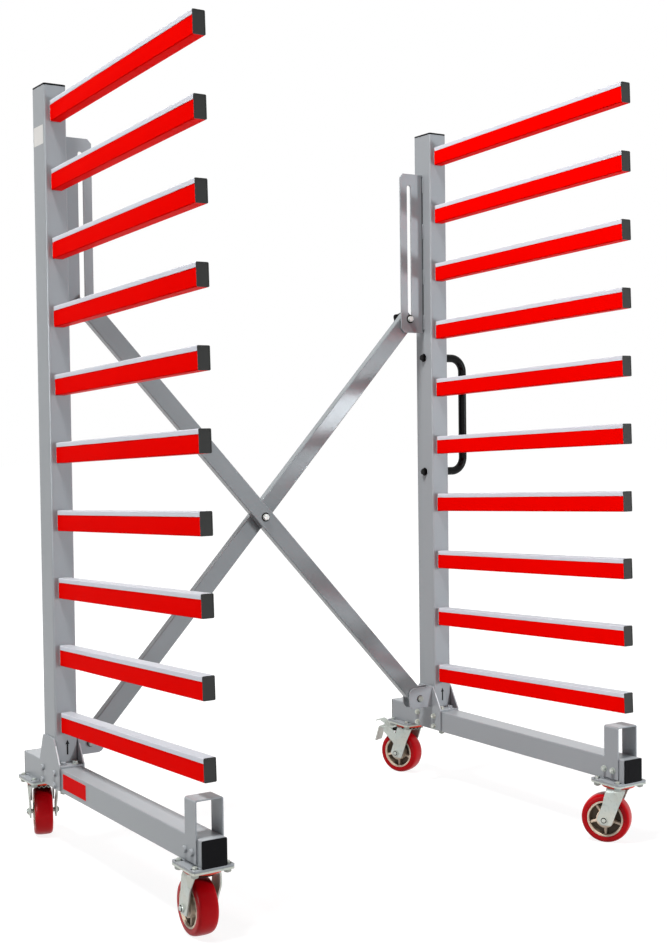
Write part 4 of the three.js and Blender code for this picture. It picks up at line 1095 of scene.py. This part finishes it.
def stage():
    """Floor, soft lamps, white surround and the camera."""
    scene = bpy.context.scene
    scene.view_settings.view_transform = "Standard"
    floor = bpy.data.objects.new("floor", mesh_of([(-40, -40, 0), (40, -40, 0), (40, 40, 0), (-40, 40, 0)], [[0, 1, 2, 3]]))
    collection.objects.link(floor)
    pale = bpy.data.materials.new("pale floor")
    pale.use_nodes = True
    tree = Tree(pale.node_tree)
    pale.node_tree.nodes.clear()
    lit = tree.node("ShaderNodeBsdfDiffuse", inputs={"Color": (0.22, 0.22, 0.22, 1)})
    place = tree.node("ShaderNodeTexCoord", output="Object")
    reach = tree.node("ShaderNodeVectorMath", {"operation": "LENGTH"}, {0: place}, "Value")
    far = tree.node("ShaderNodeMapRange", inputs={"Value": reach, 1: 1.6, 2: 7.0, 3: 0.86, 4: 1.0})
    rays = [tree.node("ShaderNodeLightPath", output=label)
            for label in ("Is Camera Ray", "Is Glossy Ray", "Is Transmission Ray", "Is Diffuse Ray")]
    seen = far * (rays[0] + rays[1] + rays[2]) + 0.3 * rays[3]
    glow = tree.node("ShaderNodeEmission", inputs={"Color": (1, 1, 1, 1), "Strength": seen})
    mixed = tree.node("ShaderNodeAddShader", inputs={0: lit, 1: glow})
    out = pale.node_tree.nodes.new("ShaderNodeOutputMaterial")
    tree.feed(out.inputs["Surface"], mixed)
    floor.data.materials.append(pale)

    world = bpy.data.worlds.new("studio")
    world.use_nodes = True
    scene.world = world
    tree = Tree(world.node_tree)
    rays = [tree.node("ShaderNodeLightPath", output=label)
            for label in ("Is Camera Ray", "Is Glossy Ray", "Is Transmission Ray")]
    seen = rays[0] + rays[1] + rays[2]
    shade = tree.node("ShaderNodeMix", {"data_type": "RGBA"}, {0: seen, 6: (0.08, 0.081, 0.083, 1), 7: (1, 1, 1, 1)}, 2)
    tree.feed(world.node_tree.nodes["Background"].inputs["Color"], shade)

    lamps = {
        "key": ((-19.9, -5.4, 7.4), (0, -0.2, 0.9), 3.4, 440, COOL),
        "top": ((-2.9, -0.75, 7.9), (0, -0.1, 0.9), 1.8, 890, WARM),
        "fill": ((2.93, -3.85, 0.95), (0.3, 0, 1.1), 0.7, 176, COOL),
        "softbox": ((2.93, -3.85, 1.21), (0.3, 0, 1.1), 0.52, 8.4, COOL),
        "back": ((0.6, 4.0, 2.6), (0, 0, 1.0), 2.6, 115, WARM),
        "glint": ((-5.6, -1.3, 1.5), (0.6, 0.2, 1.1), 1.5, 180, COOL),
    }
    for name, (place, target, size, power, colour) in lamps.items():
        lamp = bpy.data.lights.new(name, "AREA")
        lamp.shape, lamp.size, lamp.energy, lamp.color = "DISK", size, power, colour
        holder = bpy.data.objects.new(name, lamp)
        holder.location = place
        holder.visible_glossy = name in ("key", "softbox", "glint")
        holder.visible_diffuse = name != "glint"
        holder.rotation_euler = (Vector(target) - Vector(place)).to_track_quat("-Z", "Y").to_euler()
        collection.objects.link(holder)

    yaw, pitch, roll = (math.radians(a) for a in (CAMERA_YAW, CAMERA_PITCH, CAMERA_ROLL))
    ahead = Vector((math.sin(yaw) * math.cos(pitch), math.cos(yaw) * math.cos(pitch), math.sin(pitch)))
    right = Vector((math.cos(yaw), -math.sin(yaw), 0))
    above = right.cross(ahead)
    right, above = (
        math.cos(roll) * right + math.sin(roll) * above,
        math.cos(roll) * above - math.sin(roll) * right,
    )
    camera = bpy.data.cameras.new("camera")
    camera.lens, camera.sensor_width, camera.sensor_height = LENS, 36, 36
    camera.clip_end = 200
    holder = bpy.data.objects.new("camera", camera)
    axes = Matrix((right, above, -ahead)).transposed().to_4x4()
    holder.matrix_world = Matrix.Translation(TO_FRAME @ Vector(CAMERA_PLACE)) @ axes
    collection.objects.link(holder)
    scene.camera = holder


stage()
for side in SIDES:
    frame_pieces(side)
brace_pieces()
handle_pieces()
for caster in SWIVELS:
    caster_pieces(caster)
labels()
